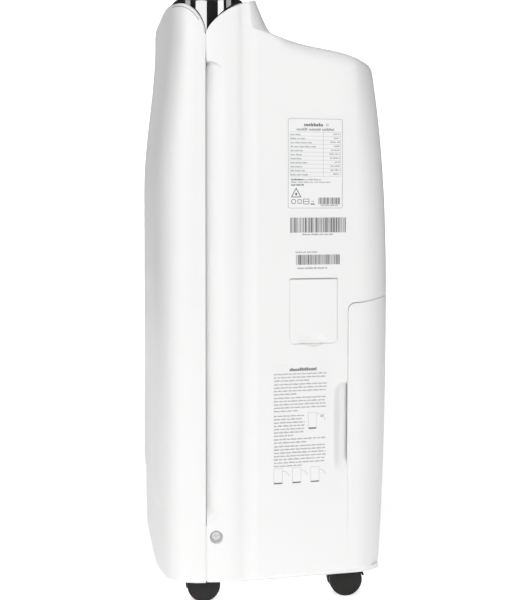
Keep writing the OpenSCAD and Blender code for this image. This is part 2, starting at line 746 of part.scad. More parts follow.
module suction_pipe() {
    color("peru") tube(concat([[acc_x, acc_y, 228.2]],
        bend([acc_x, acc_y, 300], [0, 0, 1], [1, 0, 0], 14),
        bend([134, acc_y, 300], [1, 0, 0], [0, 0, 1], 14),
        bend([134, acc_y, 360], [0, 0, 1], [0, 1, 0], 14), [[134, 78, 360]]), 5);
}

module capillary_drier() {
    color("peru") {
        translate([134, -10, 420]) rotate_extrude() polygon([[0, 0], [5, 4], [9, 14], [9, 66], [3, 78], [3, 80], [0, 80]]);
        tube(concat([[134, -10, 500.1]], bend([134, -10, 512], [0, 0, 1], [0, 1, 0], 6), [[134, 50, 512]]), 2);
    }
}

// ---- Electrics ----
module electrical_box() {
    color("whitesmoke") difference() {
        translate([66, -108, 330]) cube([60, 34, 90]);
        translate([68, -106, 332]) cube([56, 34, 86]);
    }
}
module run_capacitor() {
    color("lightgray") translate([96, -90, 334]) cylinder(r = 14, h = 60);
}
module humidity_sensor() {
    color("white") translate([140, 70, 352]) cube([4, 12, 18]);
}

gland_l = 14;
module cord_gland() {
    color("black") mirror([1, 0, 0]) on_face(gland_y, gland_z) rotate([0, 90, 0]) difference() {
        union() {
            translate([0, 0, 0.05]) cylinder(r = 12, h = 2.6);
            translate([0, 0, 2.65 - gland_l]) cylinder(r = gland_r, h = gland_l);
        }
        translate([0, 0, -gland_l]) cylinder(r = 4, h = 2 * gland_l);
    }
}

module case_screws() {
    color("silver") for (m = [0, 1]) mirror([m, 0, 0])
        translate([half_w - 8.98, screw_y, screw_z]) rotate([0, 90, 0]) difference() {
            union() {
                cylinder(r = 4.2, h = 2.6);
                translate([0, 0, -9]) cylinder(r = 2, h = 10);
            }
            translate([-0.6, -2.6, 1.2]) cube([1.2, 5.2, 3]);
            translate([-2.6, -0.6, 1.2]) cube([5.2, 1.2, 3]);
        }
}

// ---- Casters ----
trail = 8;
wheel_t = 9;
wheel_gap = 4;
axle_r = 2.5;
hood_r = wheel_r + 2.6;
hood_w = 2 * wheel_t + wheel_gap + 1;
module caster(sx, y, turn) {
    stem_top = socket_top - 3;
    color("black") translate([sx * caster_x, y, 0]) rotate([0, 0, turn]) {
        difference() {
            union() {
                difference() {
                    union() {
                        translate([0, 0, wheel_r + 8]) cylinder(r = stem_r, h = stem_top - wheel_r - 8);
                        translate([0, -trail, wheel_r]) rotate([0, 90, 0])
                            cylinder(r = hood_r, h = hood_w, center = true);
                    }
                    translate([0, -trail, wheel_r]) rotate([0, 90, 0])
                        cylinder(r = wheel_r + 0.7, h = hood_w + 10, center = true);
                    translate([-40, -60, -5]) cube([80, 100, wheel_r + 9]);
                }
                // Web that carries the axle between the wheels.
                translate([0, -trail, wheel_r]) rotate([0, 90, 0])
                    cylinder(r = wheel_r + 1, h = wheel_gap - 0.6, center = true);
            }
            translate([-40, -60, -5]) cube([80, 100, wheel_r]);
            translate([0, -trail, wheel_r]) rotate([0, 90, 0])
                cylinder(r = axle_r + 0.05, h = hood_w, center = true);
        }
    }
}

module wheel_pair(sx, y, turn) {
    color("dimgray") translate([sx * caster_x, y, 0]) rotate([0, 0, turn]) translate([0, -trail, wheel_r]) {
        for (s = [-1, 1]) translate([s * (wheel_gap + wheel_t) / 2, 0, 0]) rotate([0, 90, 0])
            cylinder(r = wheel_r, h = wheel_t, center = true);
        rotate([0, 90, 0]) cylinder(r = axle_r, h = wheel_gap + 2, center = true);
    }
}

base_tray();
front_shell();
rear_shell();
control_deck();
display_lens();
outlet_grille();
louver();
louver_motor();
button(0);  // button_power
button(1);  // button_mode
button(2);  // button_fan
button(3);  // button_timer
button(4);  // button_level
control_board();
rating_label();
bar_sticker_upper();
bar_sticker_lower();
notice_label();
drain_cover();
drain_spout();
drain_plug();
tank_bucket();
tank_front();
tank_lid();
float_arm();
tank_switch();
chassis_wall();
intake_grille();
filter_screen();
evaporator();
condenser();
drip_tray();
fan_scroll();
fan_wheel();
fan_motor();
compressor();
compressor_feet();
accumulator();
discharge_pipe();
suction_pipe();
capillary_drier();
electrical_box();
run_capacitor();
humidity_sensor();
cord_gland();
case_screws();
caster(1, caster_front_y, 0);  // caster_front_right
caster(-1, caster_front_y, 0);  // caster_front_left
caster(1, caster_rear_y, 180);  // caster_rear_right
caster(-1, caster_rear_y, 180);  // caster_rear_left
wheel_pair(1, caster_front_y, 0);  // wheels_front_right
wheel_pair(-1, caster_front_y, 0);  // wheels_front_left
wheel_pair(1, caster_rear_y, 180);  // wheels_rear_right
wheel_pair(-1, caster_rear_y, 180);  // wheels_rear_left
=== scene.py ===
"""Looks of a portable dehumidifier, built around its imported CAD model.

Lengths are millimetres until a mesh is made. The front is -Y, and the photographed side is +X.
"""

import math
import random

import bmesh
import bpy
from mathutils import Matrix, Vector


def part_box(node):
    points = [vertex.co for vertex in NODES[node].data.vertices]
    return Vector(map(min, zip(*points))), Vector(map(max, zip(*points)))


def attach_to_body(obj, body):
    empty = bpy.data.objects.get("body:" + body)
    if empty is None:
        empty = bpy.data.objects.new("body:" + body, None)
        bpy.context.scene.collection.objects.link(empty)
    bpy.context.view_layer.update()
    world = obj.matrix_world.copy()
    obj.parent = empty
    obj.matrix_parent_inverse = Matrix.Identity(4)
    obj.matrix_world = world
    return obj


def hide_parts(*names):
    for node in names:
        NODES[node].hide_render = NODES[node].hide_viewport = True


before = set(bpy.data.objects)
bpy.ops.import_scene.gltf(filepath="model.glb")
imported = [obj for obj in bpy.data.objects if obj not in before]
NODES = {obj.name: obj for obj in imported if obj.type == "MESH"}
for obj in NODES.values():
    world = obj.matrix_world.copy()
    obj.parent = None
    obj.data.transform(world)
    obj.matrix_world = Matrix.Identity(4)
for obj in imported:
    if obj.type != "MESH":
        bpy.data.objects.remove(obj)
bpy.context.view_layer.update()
MM = 0.001
X, Y, Z = Vector((1, 0, 0)), Vector((0, 1, 0)), Vector((0, 0, 1))


# -------- sizes taken from the frame
def mm_box(node):
    """Lowest and highest corner of a CAD node in millimetres."""
    low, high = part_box(node)
    return low / MM, high / MM


FRONT_LOW, FRONT_HIGH = mm_box("front_shell")
REAR_LOW, REAR_HIGH = mm_box("rear_shell")
DECK_LOW, DECK_HIGH = mm_box("control_deck")
TANK_LOW, TANK_HIGH = mm_box("tank_front")

WALL = 3.0
FOOT_ROUND = 3.0
FOOT_ANGLES = [math.radians(a) for a in (0, 25, 45, 65, 90)]
SEAM_ROUND = 0.9
HALF_W = REAR_HIGH.x
BACK_Y = REAR_HIGH.y
SEAM_Y = (FRONT_HIGH.y + REAR_LOW.y) / 2
SEAM_GAP = REAR_LOW.y - FRONT_HIGH.y
BODY_Z = REAR_LOW.z
RIM_Z = FRONT_HIGH.z
BOW = SEAM_Y - FRONT_LOW.y
SEAM_X = HALF_W - 2
# The notch between the shells: its floor, and how far and how sharply each shell's edge climbs out of it.
NOTCH_Z = RIM_Z - 31
FRONT_NOTCH = (31, 1.85)
REAR_NOTCH = (44, 1.5)
# The label face, tilted in towards the back, and the proud column with its crease in front of it.
FACE_Y = SEAM_Y + 53
FACE_X = HALF_W - 4.2
FACE_SLOPE = 0.143
FACE_ANGLE = math.atan(FACE_SLOPE)
RIDGE_Y = SEAM_Y + 21
CREASE_Y = SEAM_Y + 37
CREASE_DEPTH = 1.3
CORNER_R = 44.0
CORNER_CY = BACK_Y - CORNER_R
CORNER_CX = FACE_X - FACE_SLOPE * (CORNER_CY - FACE_Y) - CORNER_R / math.cos(FACE_ANGLE)
FACE_END = CORNER_CY + CORNER_R * math.sin(FACE_ANGLE)
TANK_TOP = TANK_HIGH.z
TANK_SEAM_Y = TANK_LOW.y
TANK_SWEEP = 5.5
TANK_CORNER = 8
CORE_Y = (DECK_LOW.y + DECK_HIGH.y) / 2
CORE_R = (DECK_HIGH.y - DECK_LOW.y) / 2
CORE_HALF = DECK_HIGH.x - CORE_R
PLAN_POWER = 4.2
CHIN_DEPTH = 1.7
NECK_TOP = REAR_HIGH.z
SHOULDER_Z, SHOULDER_Y, SHOULDER_SLOPE = 578, 2, 0.2727


# -------- small maths
def clamp(v, low=0.0, high=1.0):
    return max(low, min(high, v))


def smooth(edge0, edge1, v):
    """0 before edge0, 1 after edge1, eased between them."""
    t = clamp((v - edge0) / (edge1 - edge0))
    return t * t * (3 - 2 * t)


def lerp(a, b, t):
    return a + (b - a) * t


def spread(a, b, steps):
    """steps + 1 values from a to b."""
    return [a + (b - a) * i / steps for i in range(steps + 1)]


def bezier(p0, p1, p2, t):
    return p0 * (1 - t) ** 2 + p1 * 2 * t * (1 - t) + p2 * t * t


# -------- meshes
def link(obj):
    bpy.context.scene.collection.objects.link(obj)
    return obj


def mesh_piece(name, verts, faces, body=None, m=None, slot=None, sharp=40):
    """A smooth-shaded mesh from millimetre points; with a body, it rides on it."""
    mesh = bpy.data.meshes.new(name)
    mesh.from_pydata([Vector(v) * MM for v in verts], [], faces)
    mesh.validate()
    obj = link(bpy.data.objects.new(name, mesh))
    finish_shading(obj, sharp)
    if m:
        mesh.materials.append(m)
    if body:
        attach(obj, body)
    return obj


def attach(obj, body):
    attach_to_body(obj, body)


def finish_shading(obj, sharp=40):
    mesh = obj.data
    mesh.polygons.foreach_set("use_smooth", [True] * len(mesh.polygons))
    mesh.set_sharp_from_angle(angle=math.radians(sharp))
    mesh.update()


def grid(rows, close=False):
    """Vertices and quads of a grid; close joins each row's end to its start."""
    width = len(rows[0])
    verts = [p for row in rows for p in row]
    faces = []
    for r in range(len(rows) - 1):
        for c in range(width if close else width - 1):
            d = (c + 1) % width
            faces.append((r * width + c, r * width + d, (r + 1) * width + d, (r + 1) * width + c))
    return verts, faces


def apply_modifiers(obj):
    bpy.context.view_layer.update()
    graph = bpy.context.evaluated_depsgraph_get()
    mesh = bpy.data.meshes.new_from_object(obj.evaluated_get(graph))
    obj.modifiers.clear()
    obj.data = mesh


def solidify(obj, thickness):
    m = obj.modifiers.new("solid", "SOLIDIFY")
    m.thickness = thickness * MM
    m.offset = -1
    m.use_even_offset = True
    m.use_rim = True
    apply_modifiers(obj)


def cut(obj, cutters):
    """Subtracts each cutter and removes it."""
    for c in cutters:
        outward(c)
        m = obj.modifiers.new("cut", "BOOLEAN")
        m.operation = "DIFFERENCE"
        m.solver = "MANIFOLD"
        m.object = c
        apply_modifiers(obj)
        bpy.data.objects.remove(c)


def prism(name, outline, low, high, place=Matrix.Identity(4)):
    """Closed prism over a 2D outline, from z = low to high, then moved by place."""
    n = len(outline)
    verts = [place @ Vector((x, y, z)) for z in (low, high) for x, y in outline]
    faces = [tuple(range(n - 1, -1, -1)), tuple(range(n, 2 * n))]
    faces += [(i, (i + 1) % n, n + (i + 1) % n, n + i) for i in range(n)]
    return mesh_piece(name, verts, faces)


def rounded_outline(w, h, r_high, r_low=None):
    """Rounded rectangle about the origin; the lower corners may have a radius of their own."""
    pts, steps = [], 8
    for k, (sx, sy) in enumerate([(1, 1), (-1, 1), (-1, -1), (1, -1)]):
        r = r_high if sy > 0 or r_low is None else r_low
        for i in range(steps + 1):
            a = math.radians(90 * k + 90 * i / steps)
            pts.append((sx * (w / 2 - r) + r * math.cos(a), sy * (h / 2 - r) + r * math.sin(a)))
    return pts


def circle_outline(r, steps):
    return [(r * math.cos(math.tau * i / steps), r * math.sin(math.tau * i / steps)) for i in range(steps)]


def axes(origin, x, y, z):
    """Matrix whose columns are the three axes, at origin."""
    return Matrix.Translation(origin) @ Matrix((x, y, z)).transposed().to_4x4()


def across(x=0):
    """Frame for a prism that runs across the machine: outlines are (y, z)."""
    return axes(Vector((x, 0, 0)), Y, Z, X)


# -------- shapes of the two shells
def foot_steps(z0):
    """Heights and insets up the round foot of a shell that starts at z0."""
    return [(z0 + FOOT_ROUND * (1 - math.cos(a)), FOOT_ROUND * (1 - math.sin(a))) for a in FOOT_ANGLES]


def column_x(y):
    """Reach of the proud column, round about its ridge."""
    span = 21 if y < RIDGE_Y else 16
    drop = 2.0 if y < RIDGE_Y else 3.4
    return HALF_W - drop * ((y - RIDGE_Y) / span) ** 2


def side_x(y):
    """Reach of the side wall: a proud column, a soft crease, then the tilted label face."""
    face = FACE_X - FACE_SLOPE * (y - FACE_Y)
    crease = CREASE_DEPTH * smooth(CREASE_Y - 5, CREASE_Y + 7, y) * smooth(CREASE_Y + 16, CREASE_Y + 7, y)
    column = min(column_x(min(y, CREASE_Y)), HALF_W)
    return lerp(column, face, smooth(CREASE_Y - 7, FACE_Y + 2, y)) - crease


def front_bow(z):
    """How far the front shell reaches forward of the seam: less towards its top and its foot."""
    return BOW - 14 * smooth(425, 600, z) - 0.8 * smooth(112, 31, z)


def back_at(z):
    """Y of the back at a height: it leans in above the tank's top and, less, below it."""
    if z > TANK_TOP:
        return BACK_Y - 13 * ((z - TANK_TOP) / 221) ** 2.4
    return BACK_Y - 8 * ((TANK_TOP - z) / 278) ** 2


def notch_edge(s, reach, power):
    """Height of a shell's edge at a distance from the seam."""
    return NOTCH_Z + (RIM_Z - NOTCH_Z) * (1 - max(0.0, 1 - s / reach) ** power) ** (1 / power)


def front_rim(s):
    """Height of the front shell's edge at a distance from the seam, with the deck lip's rise past the notch."""
    return notch_edge(max(0.0, s), *FRONT_NOTCH) + 3.0 * smooth(26, 44, s)


def tank_top(y):
    """Upper edge of the tank front, which sweeps up towards the back."""
    return TANK_TOP + TANK_SWEEP * smooth(TANK_SEAM_Y + 9, BACK_Y, y)


def shoulder_z(y):
    """Height of the rear shell's sloped shoulder, which eases out towards the back."""
    return SHOULDER_Z - SHOULDER_SLOPE * (y - SHOULDER_Y) + 9 * smooth(25, 110, y)


def front_point(angle, z, inset=0.0):
    """Point of the front shell at a polar angle, 0 at the right seam and pi at the left one."""
    c, s = math.cos(angle), math.sin(angle)
    scale = (abs(c) ** PLAN_POWER + abs(s) ** PLAN_POWER) ** (-1 / PLAN_POWER)
    forward = s * scale
    chin = CHIN_DEPTH * smooth(108, 98, z) * smooth(0.72, 0.93, forward)
    bow = front_bow(z) - chin - inset
    return Vector(((SEAM_X - inset) * c * scale, SEAM_Y - bow * forward, z))


# -------- materials
def tune(node, **values):
    """Sets a node's sockets, written with _ for each space."""
    for name, value in values.items():
        node.inputs[name.replace("_", " ")].default_value = value


def shader_of(m):
    return m.node_tree.nodes["Principled BSDF"]


def material(name, colour, rough, metallic=0.0, coat=0.0, specular=0.5):
    """A new Principled material; returns it with its node tree and shader."""
    m = bpy.data.materials.new(name)
    m.use_nodes = True
    tree, shader = m.node_tree, shader_of(m)
    tune(shader, Base_Color=(*colour, 1), Roughness=rough, Metallic=metallic, Coat_Weight=coat,
         Coat_Roughness=0.06, Specular_IOR_Level=specular)
    return m, tree, shader


def object_space(tree):
    return tree.nodes.new("ShaderNodeTexCoord").outputs["Object"]


def noise(tree, scale, detail=4.0, stretch=(1, 1, 1)):
    """Noise in object space; scale is in waves per metre."""
    mapping = tree.nodes.new("ShaderNodeMapping")
    mapping.inputs["Scale"].default_value = stretch
    tex = tree.nodes.new("ShaderNodeTexNoise")
    tune(tex, Scale=scale, Detail=detail)
    tree.links.new(object_space(tree), mapping.inputs["Vector"])
    tree.links.new(mapping.outputs["Vector"], tex.inputs["Vector"])
    return tex.outputs["Fac"]


def wave(tree, direction, scale):
    """Straight bands in object space."""
    tex = tree.nodes.new("ShaderNodeTexWave")
    tex.bands_direction = direction
    tex.inputs["Scale"].default_value = scale
    tree.links.new(object_space(tree), tex.inputs["Vector"])
    return tex.outputs["Fac"]


def bump_by(tree, shader, height, depth):
    """Bumps a shader's normal by a height value; returns the bump node."""
    bump = tree.nodes.new("ShaderNodeBump")
    bump.inputs["Distance"].default_value = depth * MM
    tree.links.new(height, bump.inputs["Height"])
    tree.links.new(bump.outputs["Normal"], shader.inputs["Normal"])
    return bump


def ramp(tree, value, low, high, at=(0.3, 0.7)):
    """Colour ramp between two colours or greys."""
    node = tree.nodes.new("ShaderNodeValToRGB")
    for element, place, colour in zip(node.color_ramp.elements, at, (low, high)):
        element.position = place
        element.color = (*colour, 1) if hasattr(colour, "__len__") else (colour, colour, colour, 1)
    tree.links.new(value, node.inputs["Fac"])
    return node.outputs["Color"]


def add_surface(tree, shader, fine, depth, colours, roughs, edge=0.0, big=9.0):
    """Colour and roughness drift, fine bump, and softened edges."""
    tree.links.new(ramp(tree, noise(tree, big, 5), *colours), shader.inputs["Base Color"])
    tree.links.new(ramp(tree, noise(tree, big * 3, 6), *roughs), shader.inputs["Roughness"])
    bump = bump_by(tree, shader, noise(tree, fine, 3), depth)
    if edge:
        soft = tree.nodes.new("ShaderNodeBevel")
        soft.samples = 4
        soft.inputs["Radius"].default_value = edge * MM
        tree.links.new(soft.outputs["Normal"], bump.inputs["Normal"])


def simple(name, low, high, rough, fine=900, depth=0.02, metallic=0.0, coat=0.0, edge=0.0,
           swing=0.06, specular=0.5):
    """Material whose colour drifts from low to high and whose roughness drifts about rough by swing."""
    m, tree, shader = material(name, high, rough, metallic, coat, specular)
    add_surface(tree, shader, fine, depth, (low, high), (rough - swing, rough + swing), edge)
    return m


def white_plastic():
    """Satin white ABS with a faint moulding ripple and a trace of handling in its gloss."""
    m, tree, shader = material("white_gloss_plastic", (0.8, 0.8, 0.795), 0.4, specular=0.3)
    add_surface(tree, shader, 140, 0.012, ((0.79, 0.79, 0.788), (0.815, 0.815, 0.81)), (0.36, 0.48), 0.7, 4.0)
    return m


def brushed(name, low, high, rough, stretch):
    """Sheet metal with a drawn grain."""
    m, tree, shader = material(name, high, rough, 1.0)
    grain = noise(tree, 260, 6, stretch)
    tree.links.new(ramp(tree, grain, low, high), shader.inputs["Base Color"])
    tree.links.new(ramp(tree, grain, rough - 0.08, rough + 0.1), shader.inputs["Roughness"])
    return m


def finned(name):
    """Bright fin pack: thin upright lines of light and shadow."""
    m, tree, shader = material(name, (0.75, 0.76, 0.77), 0.35, 0.9)
    bands = wave(tree, "X", 190)
    tree.links.new(ramp(tree, bands, (0.12, 0.12, 0.13), (0.85, 0.86, 0.87), (0.2, 0.8)),
                   shader.inputs["Base Color"])
    bump_by(tree, shader, bands, 0.5)
    return m


def woven(name):
    """Fine dark filter mesh."""
    m, tree, shader = material(name, (0.06, 0.06, 0.065), 0.6)
    most = tree.nodes.new("ShaderNodeMath")
    most.operation = "MAXIMUM"
    for i, direction in enumerate(("X", "Z")):
        tree.links.new(wave(tree, direction, 260), most.inputs[i])
    tree.links.new(ramp(tree, most.outputs[0], (0.02, 0.02, 0.02), (0.16, 0.16, 0.17), (0.5, 0.95)),
                   shader.inputs["Base Color"])
    bump_by(tree, shader, most.outputs[0], 0.3)
    return m


WHITE = white_plastic()
BLACK = simple("deck_piano_black", (0.006, 0.006, 0.007), (0.012, 0.012, 0.013), 0.06, 120, 0.003, coat=1.0,
               edge=0.5, swing=0.02)
tune(shader_of(BLACK), Coat_IOR=1.65, Coat_Roughness=0.02)
LENS = simple("display_smoked", (0.01, 0.01, 0.012), (0.02, 0.02, 0.024), 0.06, 200, 0.002, coat=1.0,
              swing=0.02)
DARK = simple("grille_black_plastic", (0.02, 0.02, 0.021), (0.04, 0.04, 0.042), 0.45, 1500, 0.03, edge=0.4)
BUTTON = simple("button_satin", (0.16, 0.165, 0.17), (0.22, 0.225, 0.23), 0.3, 1200, 0.02, coat=0.2, edge=0.6)
PAPER = simple("label_film", (0.79, 0.79, 0.788), (0.82, 0.82, 0.815), 0.45, 1800, 0.01)
FILM = simple("clear_film", (0.785, 0.785, 0.783), (0.812, 0.812, 0.808), 0.42, 1200, 0.01)
INK = simple("printed_ink", (0.10, 0.10, 0.105), (0.17, 0.17, 0.175), 0.5, 2500, 0.01)
INK_LIGHT = simple("printed_ink_light", (0.30, 0.30, 0.31), (0.40, 0.40, 0.41), 0.5, 2500, 0.01)
CASTER = simple("caster_nylon", (0.008, 0.008, 0.009), (0.018, 0.018, 0.019), 0.42, 700, 0.03, edge=0.3,
                specular=0.16)
TYRE = simple("caster_tread", (0.01, 0.01, 0.01), (0.024, 0.024, 0.023), 0.5, 500, 0.06, edge=0.4,
              specular=0.16)
PAINTED = simple("painted_screw", (0.76, 0.76, 0.755), (0.81, 0.81, 0.805), 0.4, 900, 0.03, edge=0.1)
RUBBER = simple("rubber_moulded", (0.02, 0.02, 0.02), (0.05, 0.05, 0.05), 0.6, 900, 0.05, edge=0.6)
GREY = simple("inner_grey_plastic", (0.52, 0.53, 0.53), (0.62, 0.62, 0.61), 0.45, 800, 0.03, edge=0.5)
# Dark grey for the fine lines of painted shadow under the front shell's lip.
SHADOW = simple("lip_painted_shadow_grey", (0.16, 0.16, 0.16), (0.24, 0.24, 0.24), 0.6, 900, 0.01)
ENAMEL = simple("compressor_enamel", (0.012, 0.012, 0.013), (0.03, 0.03, 0.032), 0.28, 240, 0.08, coat=0.3)
COPPER = simple("copper_tube", (0.62, 0.27, 0.15), (0.80, 0.42, 0.27), 0.28, 300, 0.03, metallic=1.0)
BOARD = simple("solder_mask", (0.01, 0.10, 0.04), (0.02, 0.16, 0.07), 0.35, 700, 0.05)
FOAM = simple("float_foam", (0.70, 0.30, 0.07), (0.82, 0.40, 0.12), 0.8, 1400, 0.15)
STEEL = brushed("galvanised_sheet", (0.42, 0.43, 0.44), (0.66, 0.67, 0.68), 0.38, (1, 1, 12))
FINS = finned("aluminium_fins")
MESH = woven("filter_mesh")
TANK = simple("tank_translucent", (0.62, 0.72, 0.78), (0.72, 0.80, 0.85), 0.25, 500, 0.02, coat=0.2, edge=0.6)
tune(shader_of(TANK), Transmission_Weight=0.25)


DRESS = {
    "base_tray front_shell rear_shell drain_cover tank_front intake_grille": WHITE,
    "control_deck louver": BLACK,
    "display_lens": LENS,
    "outlet_grille": DARK,
    "button_power button_mode button_fan button_timer button_level": BUTTON,
    "control_board": BOARD,
    "rating_label bar_sticker_upper bar_sticker_lower": PAPER,
    "notice_label": FILM,
    "tank_bucket": TANK,
    "chassis_wall louver_motor run_capacitor": STEEL,
    "evaporator condenser": FINS,
    "drip_tray fan_scroll fan_wheel fan_motor tank_lid": GREY,
    "electrical_box humidity_sensor drain_spout tank_switch": GREY,
    "compressor accumulator": ENAMEL,
    "discharge_pipe suction_pipe capillary_drier": COPPER,
    "compressor_feet cord_gland drain_plug": RUBBER,
    "float_arm": FOAM,
    "case_screws": PAINTED,
    "filter_screen": MESH,
    "caster_front_right caster_front_left caster_rear_right caster_rear_left": CASTER,
    "wheels_front_right wheels_front_left wheels_rear_right wheels_rear_left": TYRE,
}
for nodes, finish in DRESS.items():
    for node in nodes.split():
        NODES[node].data.materials.clear()
        NODES[node].data.materials.append(finish)


# -------- shell building
def roll(distance, radius):
    """How far a full-round edge falls back at a distance from the edge."""
    t = 1 - clamp(distance / radius)
    return radius * (1 - math.sqrt(1 - t * t))


def edge_distance(s, z, curve):
    """Distance from a point of the side view to the notch's edge."""
    best = 1e9
    for (s0, z0), (s1, z1) in zip(curve, curve[1:]):
        ds, dz = s1 - s0, z1 - z0
        t = clamp(((s - s0) * ds + (z - z0) * dz) / max(ds * ds + dz * dz, 1e-9))
        best = min(best, math.hypot(s - s0 - ds * t, z - z0 - dz * t))
    return best


def notch_curve(reach, power):
    """The notch's edge as points (distance from the seam, height), level past its reach."""
    start = SEAM_GAP / 2
    runs = [(reach + 3) * (i / 70) ** 2 for i in range(1, 71)]
    return [(start, NOTCH_Z)] + [(start + run, notch_edge(run, reach, power)) for run in runs] + [(400, RIM_Z)]


def seam_roll(s):
    """How far a shell's edge falls back at a distance from the seam."""
    return roll(max(s, 0), SEAM_ROUND) if s < SEAM_ROUND else 0.0


def closed_grid(rows):
    """Closed rings side by side, with both ends capped."""
    verts, faces = grid(rows, True)
    n = len(rows[0])
    return verts, faces + [tuple(range(n - 1, -1, -1)), tuple(len(verts) - n + i for i in range(n))]


def loop_piece(name, rings, body, m, slot, sharp=40):
    """Closed piece of rings side by side; a thin shell when each ring is a closed section of its wall."""
    piece = mesh_piece(name, *closed_grid(rings), body, m, slot, sharp)
    outward(piece)
    return piece


def both_sides(half):
    """Columns of the right half, then their mirror images."""
    return half + [[Vector((-p.x, p.y, p.z)) for p in column] for column in reversed(half[:-1])]


def outward(obj):
    """Turns every face of a closed mesh outwards."""
    bm = bmesh.new()
    bm.from_mesh(obj.data)
    bmesh.ops.recalc_face_normals(bm, faces=bm.faces)
    bm.to_mesh(obj.data)
    bm.free()
    finish_shading(obj, 35)


def join_cutters(cutters):
    """One cutter mesh out of several that don't touch."""
    bm = bmesh.new()
    for c in cutters:
        outward(c)
        bm.from_mesh(c.data)
        bpy.data.objects.remove(c)
    mesh = bpy.data.meshes.new("cutters")
    bm.to_mesh(mesh)
    bm.free()
    return link(bpy.data.objects.new("cutters", mesh))


# -------- front shell
# Distances from the seam and from the top edge where the grid has its columns and rows.
NEAR_SEAM = [0.3, 0.42, 0.62, 0.9, 1.3, 1.9, 2.7, 3.7, 4.9, 6.2, 7.6, 9.2, 11, 13, 15.2, 17.6, 20.2, 23, 26]
NEAR_TOP = [13, 10.5, 8.5, 6.8, 5.4, 4.3, 3.4, 2.7, 2.1, 1.6, 1.15, 0.8, 0.5, 0.28, 0.1, 0]


def build_front_shell():
    """Bowed shell from the seam forward, with a lip along the notch and the deck."""
    half = [math.atan2(s / BOW, (1 - (s / BOW) ** PLAN_POWER) ** (1 / PLAN_POWER)) for s in NEAR_SEAM]
    half += spread(half[-1], math.pi / 2, 70)[1:]
    angles = half + [math.pi - a for a in reversed(half[:-1])]
    curve = notch_curve(*FRONT_NOTCH)
    lip = 2.6
    columns = []
    for angle in angles:
        top = RIM_Z
        for _ in range(10):
            top = front_rim(SEAM_Y - front_point(angle, top).y - SEAM_GAP / 2)
        steps = foot_steps(BODY_Z)
        steps += [(z, 0.0) for z in spread(steps[-1][0], top - 16, 150)[1:] + [top - d for d in NEAR_TOP]]

        def at(z, inset, rounded=True):
            p = front_point(angle, z, inset)
            if rounded:
                back = seam_roll(SEAM_Y - p.y - SEAM_GAP / 2)
                if z > 570:
                    back = max(back, roll(edge_distance(SEAM_Y - p.y, z, curve), lip))
                p = front_point(angle, z, inset + back)
            p.y = min(p.y, SEAM_Y - SEAM_GAP / 2)
            return p

        outer = [at(z, inset) for z, inset in steps]
        inner = [at(z, WALL, False) for z in [top - 0.01] + spread(top - 4, BODY_Z + 0.01, 26)]
        columns.append(outer + inner)
    shell = loop_piece("front_shell_skin", columns, "cabinet", WHITE, "shell_white")
    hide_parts("front_shell")


# -------- rear shell
SCOOP_LOW, SCOOP_HIGH, SCOOP_REACH = 93.0, 552.0, 18.0
GRIP_LOW, GRIP_HIGH = 137.0, 229.0
GRIP_Y = TANK_SEAM_Y - 15.3
GRIP_DEPTH = 6.0
SCREW_Y, SCREW_Z = SEAM_Y + 10, 77.0
CORD_Y, CORD_Z = 30, 96
COVER_Y, COVER_Z, COVER_W, COVER_H = 37.5, 301.3, 51.0, 66.6
REBATE = 2.9
POCKET_D = 32.0
POCKET_OUTLINE = rounded_outline(COVER_W - 8, COVER_H - 10, 3)
GRILLE_W, GRILLE_Z0, GRILLE_Z1 = 232.0, 330.0, 536.0
# The neck's brow leans back in by LEAN, and its outline turns the corner within NECK_TURN.
LEAN = 16.5
NECK_TURN, NECK_CORNER = 39.0, 40
# Wall thickness that clears the parts behind the column and fills the space behind the grip.
COLUMN_WALL, GRIP_WALL = 10.5, 13.5


def scoop_depth(y, z):
    """Depth of the side scoop, deepest at the seam, with an arched upper end and a soft floor."""
    s = clamp((y - SEAM_Y) / SCOOP_REACH)
    arch = SCOOP_HIGH - 8.0 * s * s
    deep = 8.5 + 3.5 * smooth(515, 545, z)
    return deep * (1 - s) ** 1.3 * smooth(arch + 0.2, arch - 1.6, z) * smooth(SCOOP_LOW - 1, SCOOP_LOW + 14, z)


def grip_depth(y, z):
    """Depth of the finger scoop beside the tank's edge, deepest at the seam."""
    s = clamp((y - GRIP_Y) / (TANK_SEAM_Y - GRIP_Y))
    if s <= 0:
        return 0.0
    # The upper end is an arc of large radius.
    arc = GRIP_HIGH - 13.0 * (1 - math.sqrt(max(0.0, 1 - (1 - s) ** 2)))
    across = smooth(-0.05, 0.5, s) * 0.6 + s * 0.4
    return GRIP_DEPTH * across * smooth(arc + 0.6, arc - 5, z) * smooth(GRIP_LOW - 2, GRIP_LOW + 16, z)


def back_outline(corner_steps, back_steps):
    """Plan points round the back corner and along the back to the middle."""
    corner = [(CORNER_CX + CORNER_R * math.cos(a), CORNER_CY + CORNER_R * math.sin(a))
              for a in spread(FACE_ANGLE, math.pi / 2, corner_steps)[1:]]
    return corner + [(x, BACK_Y) for x in spread(CORNER_CX, 0, back_steps)[1:]]


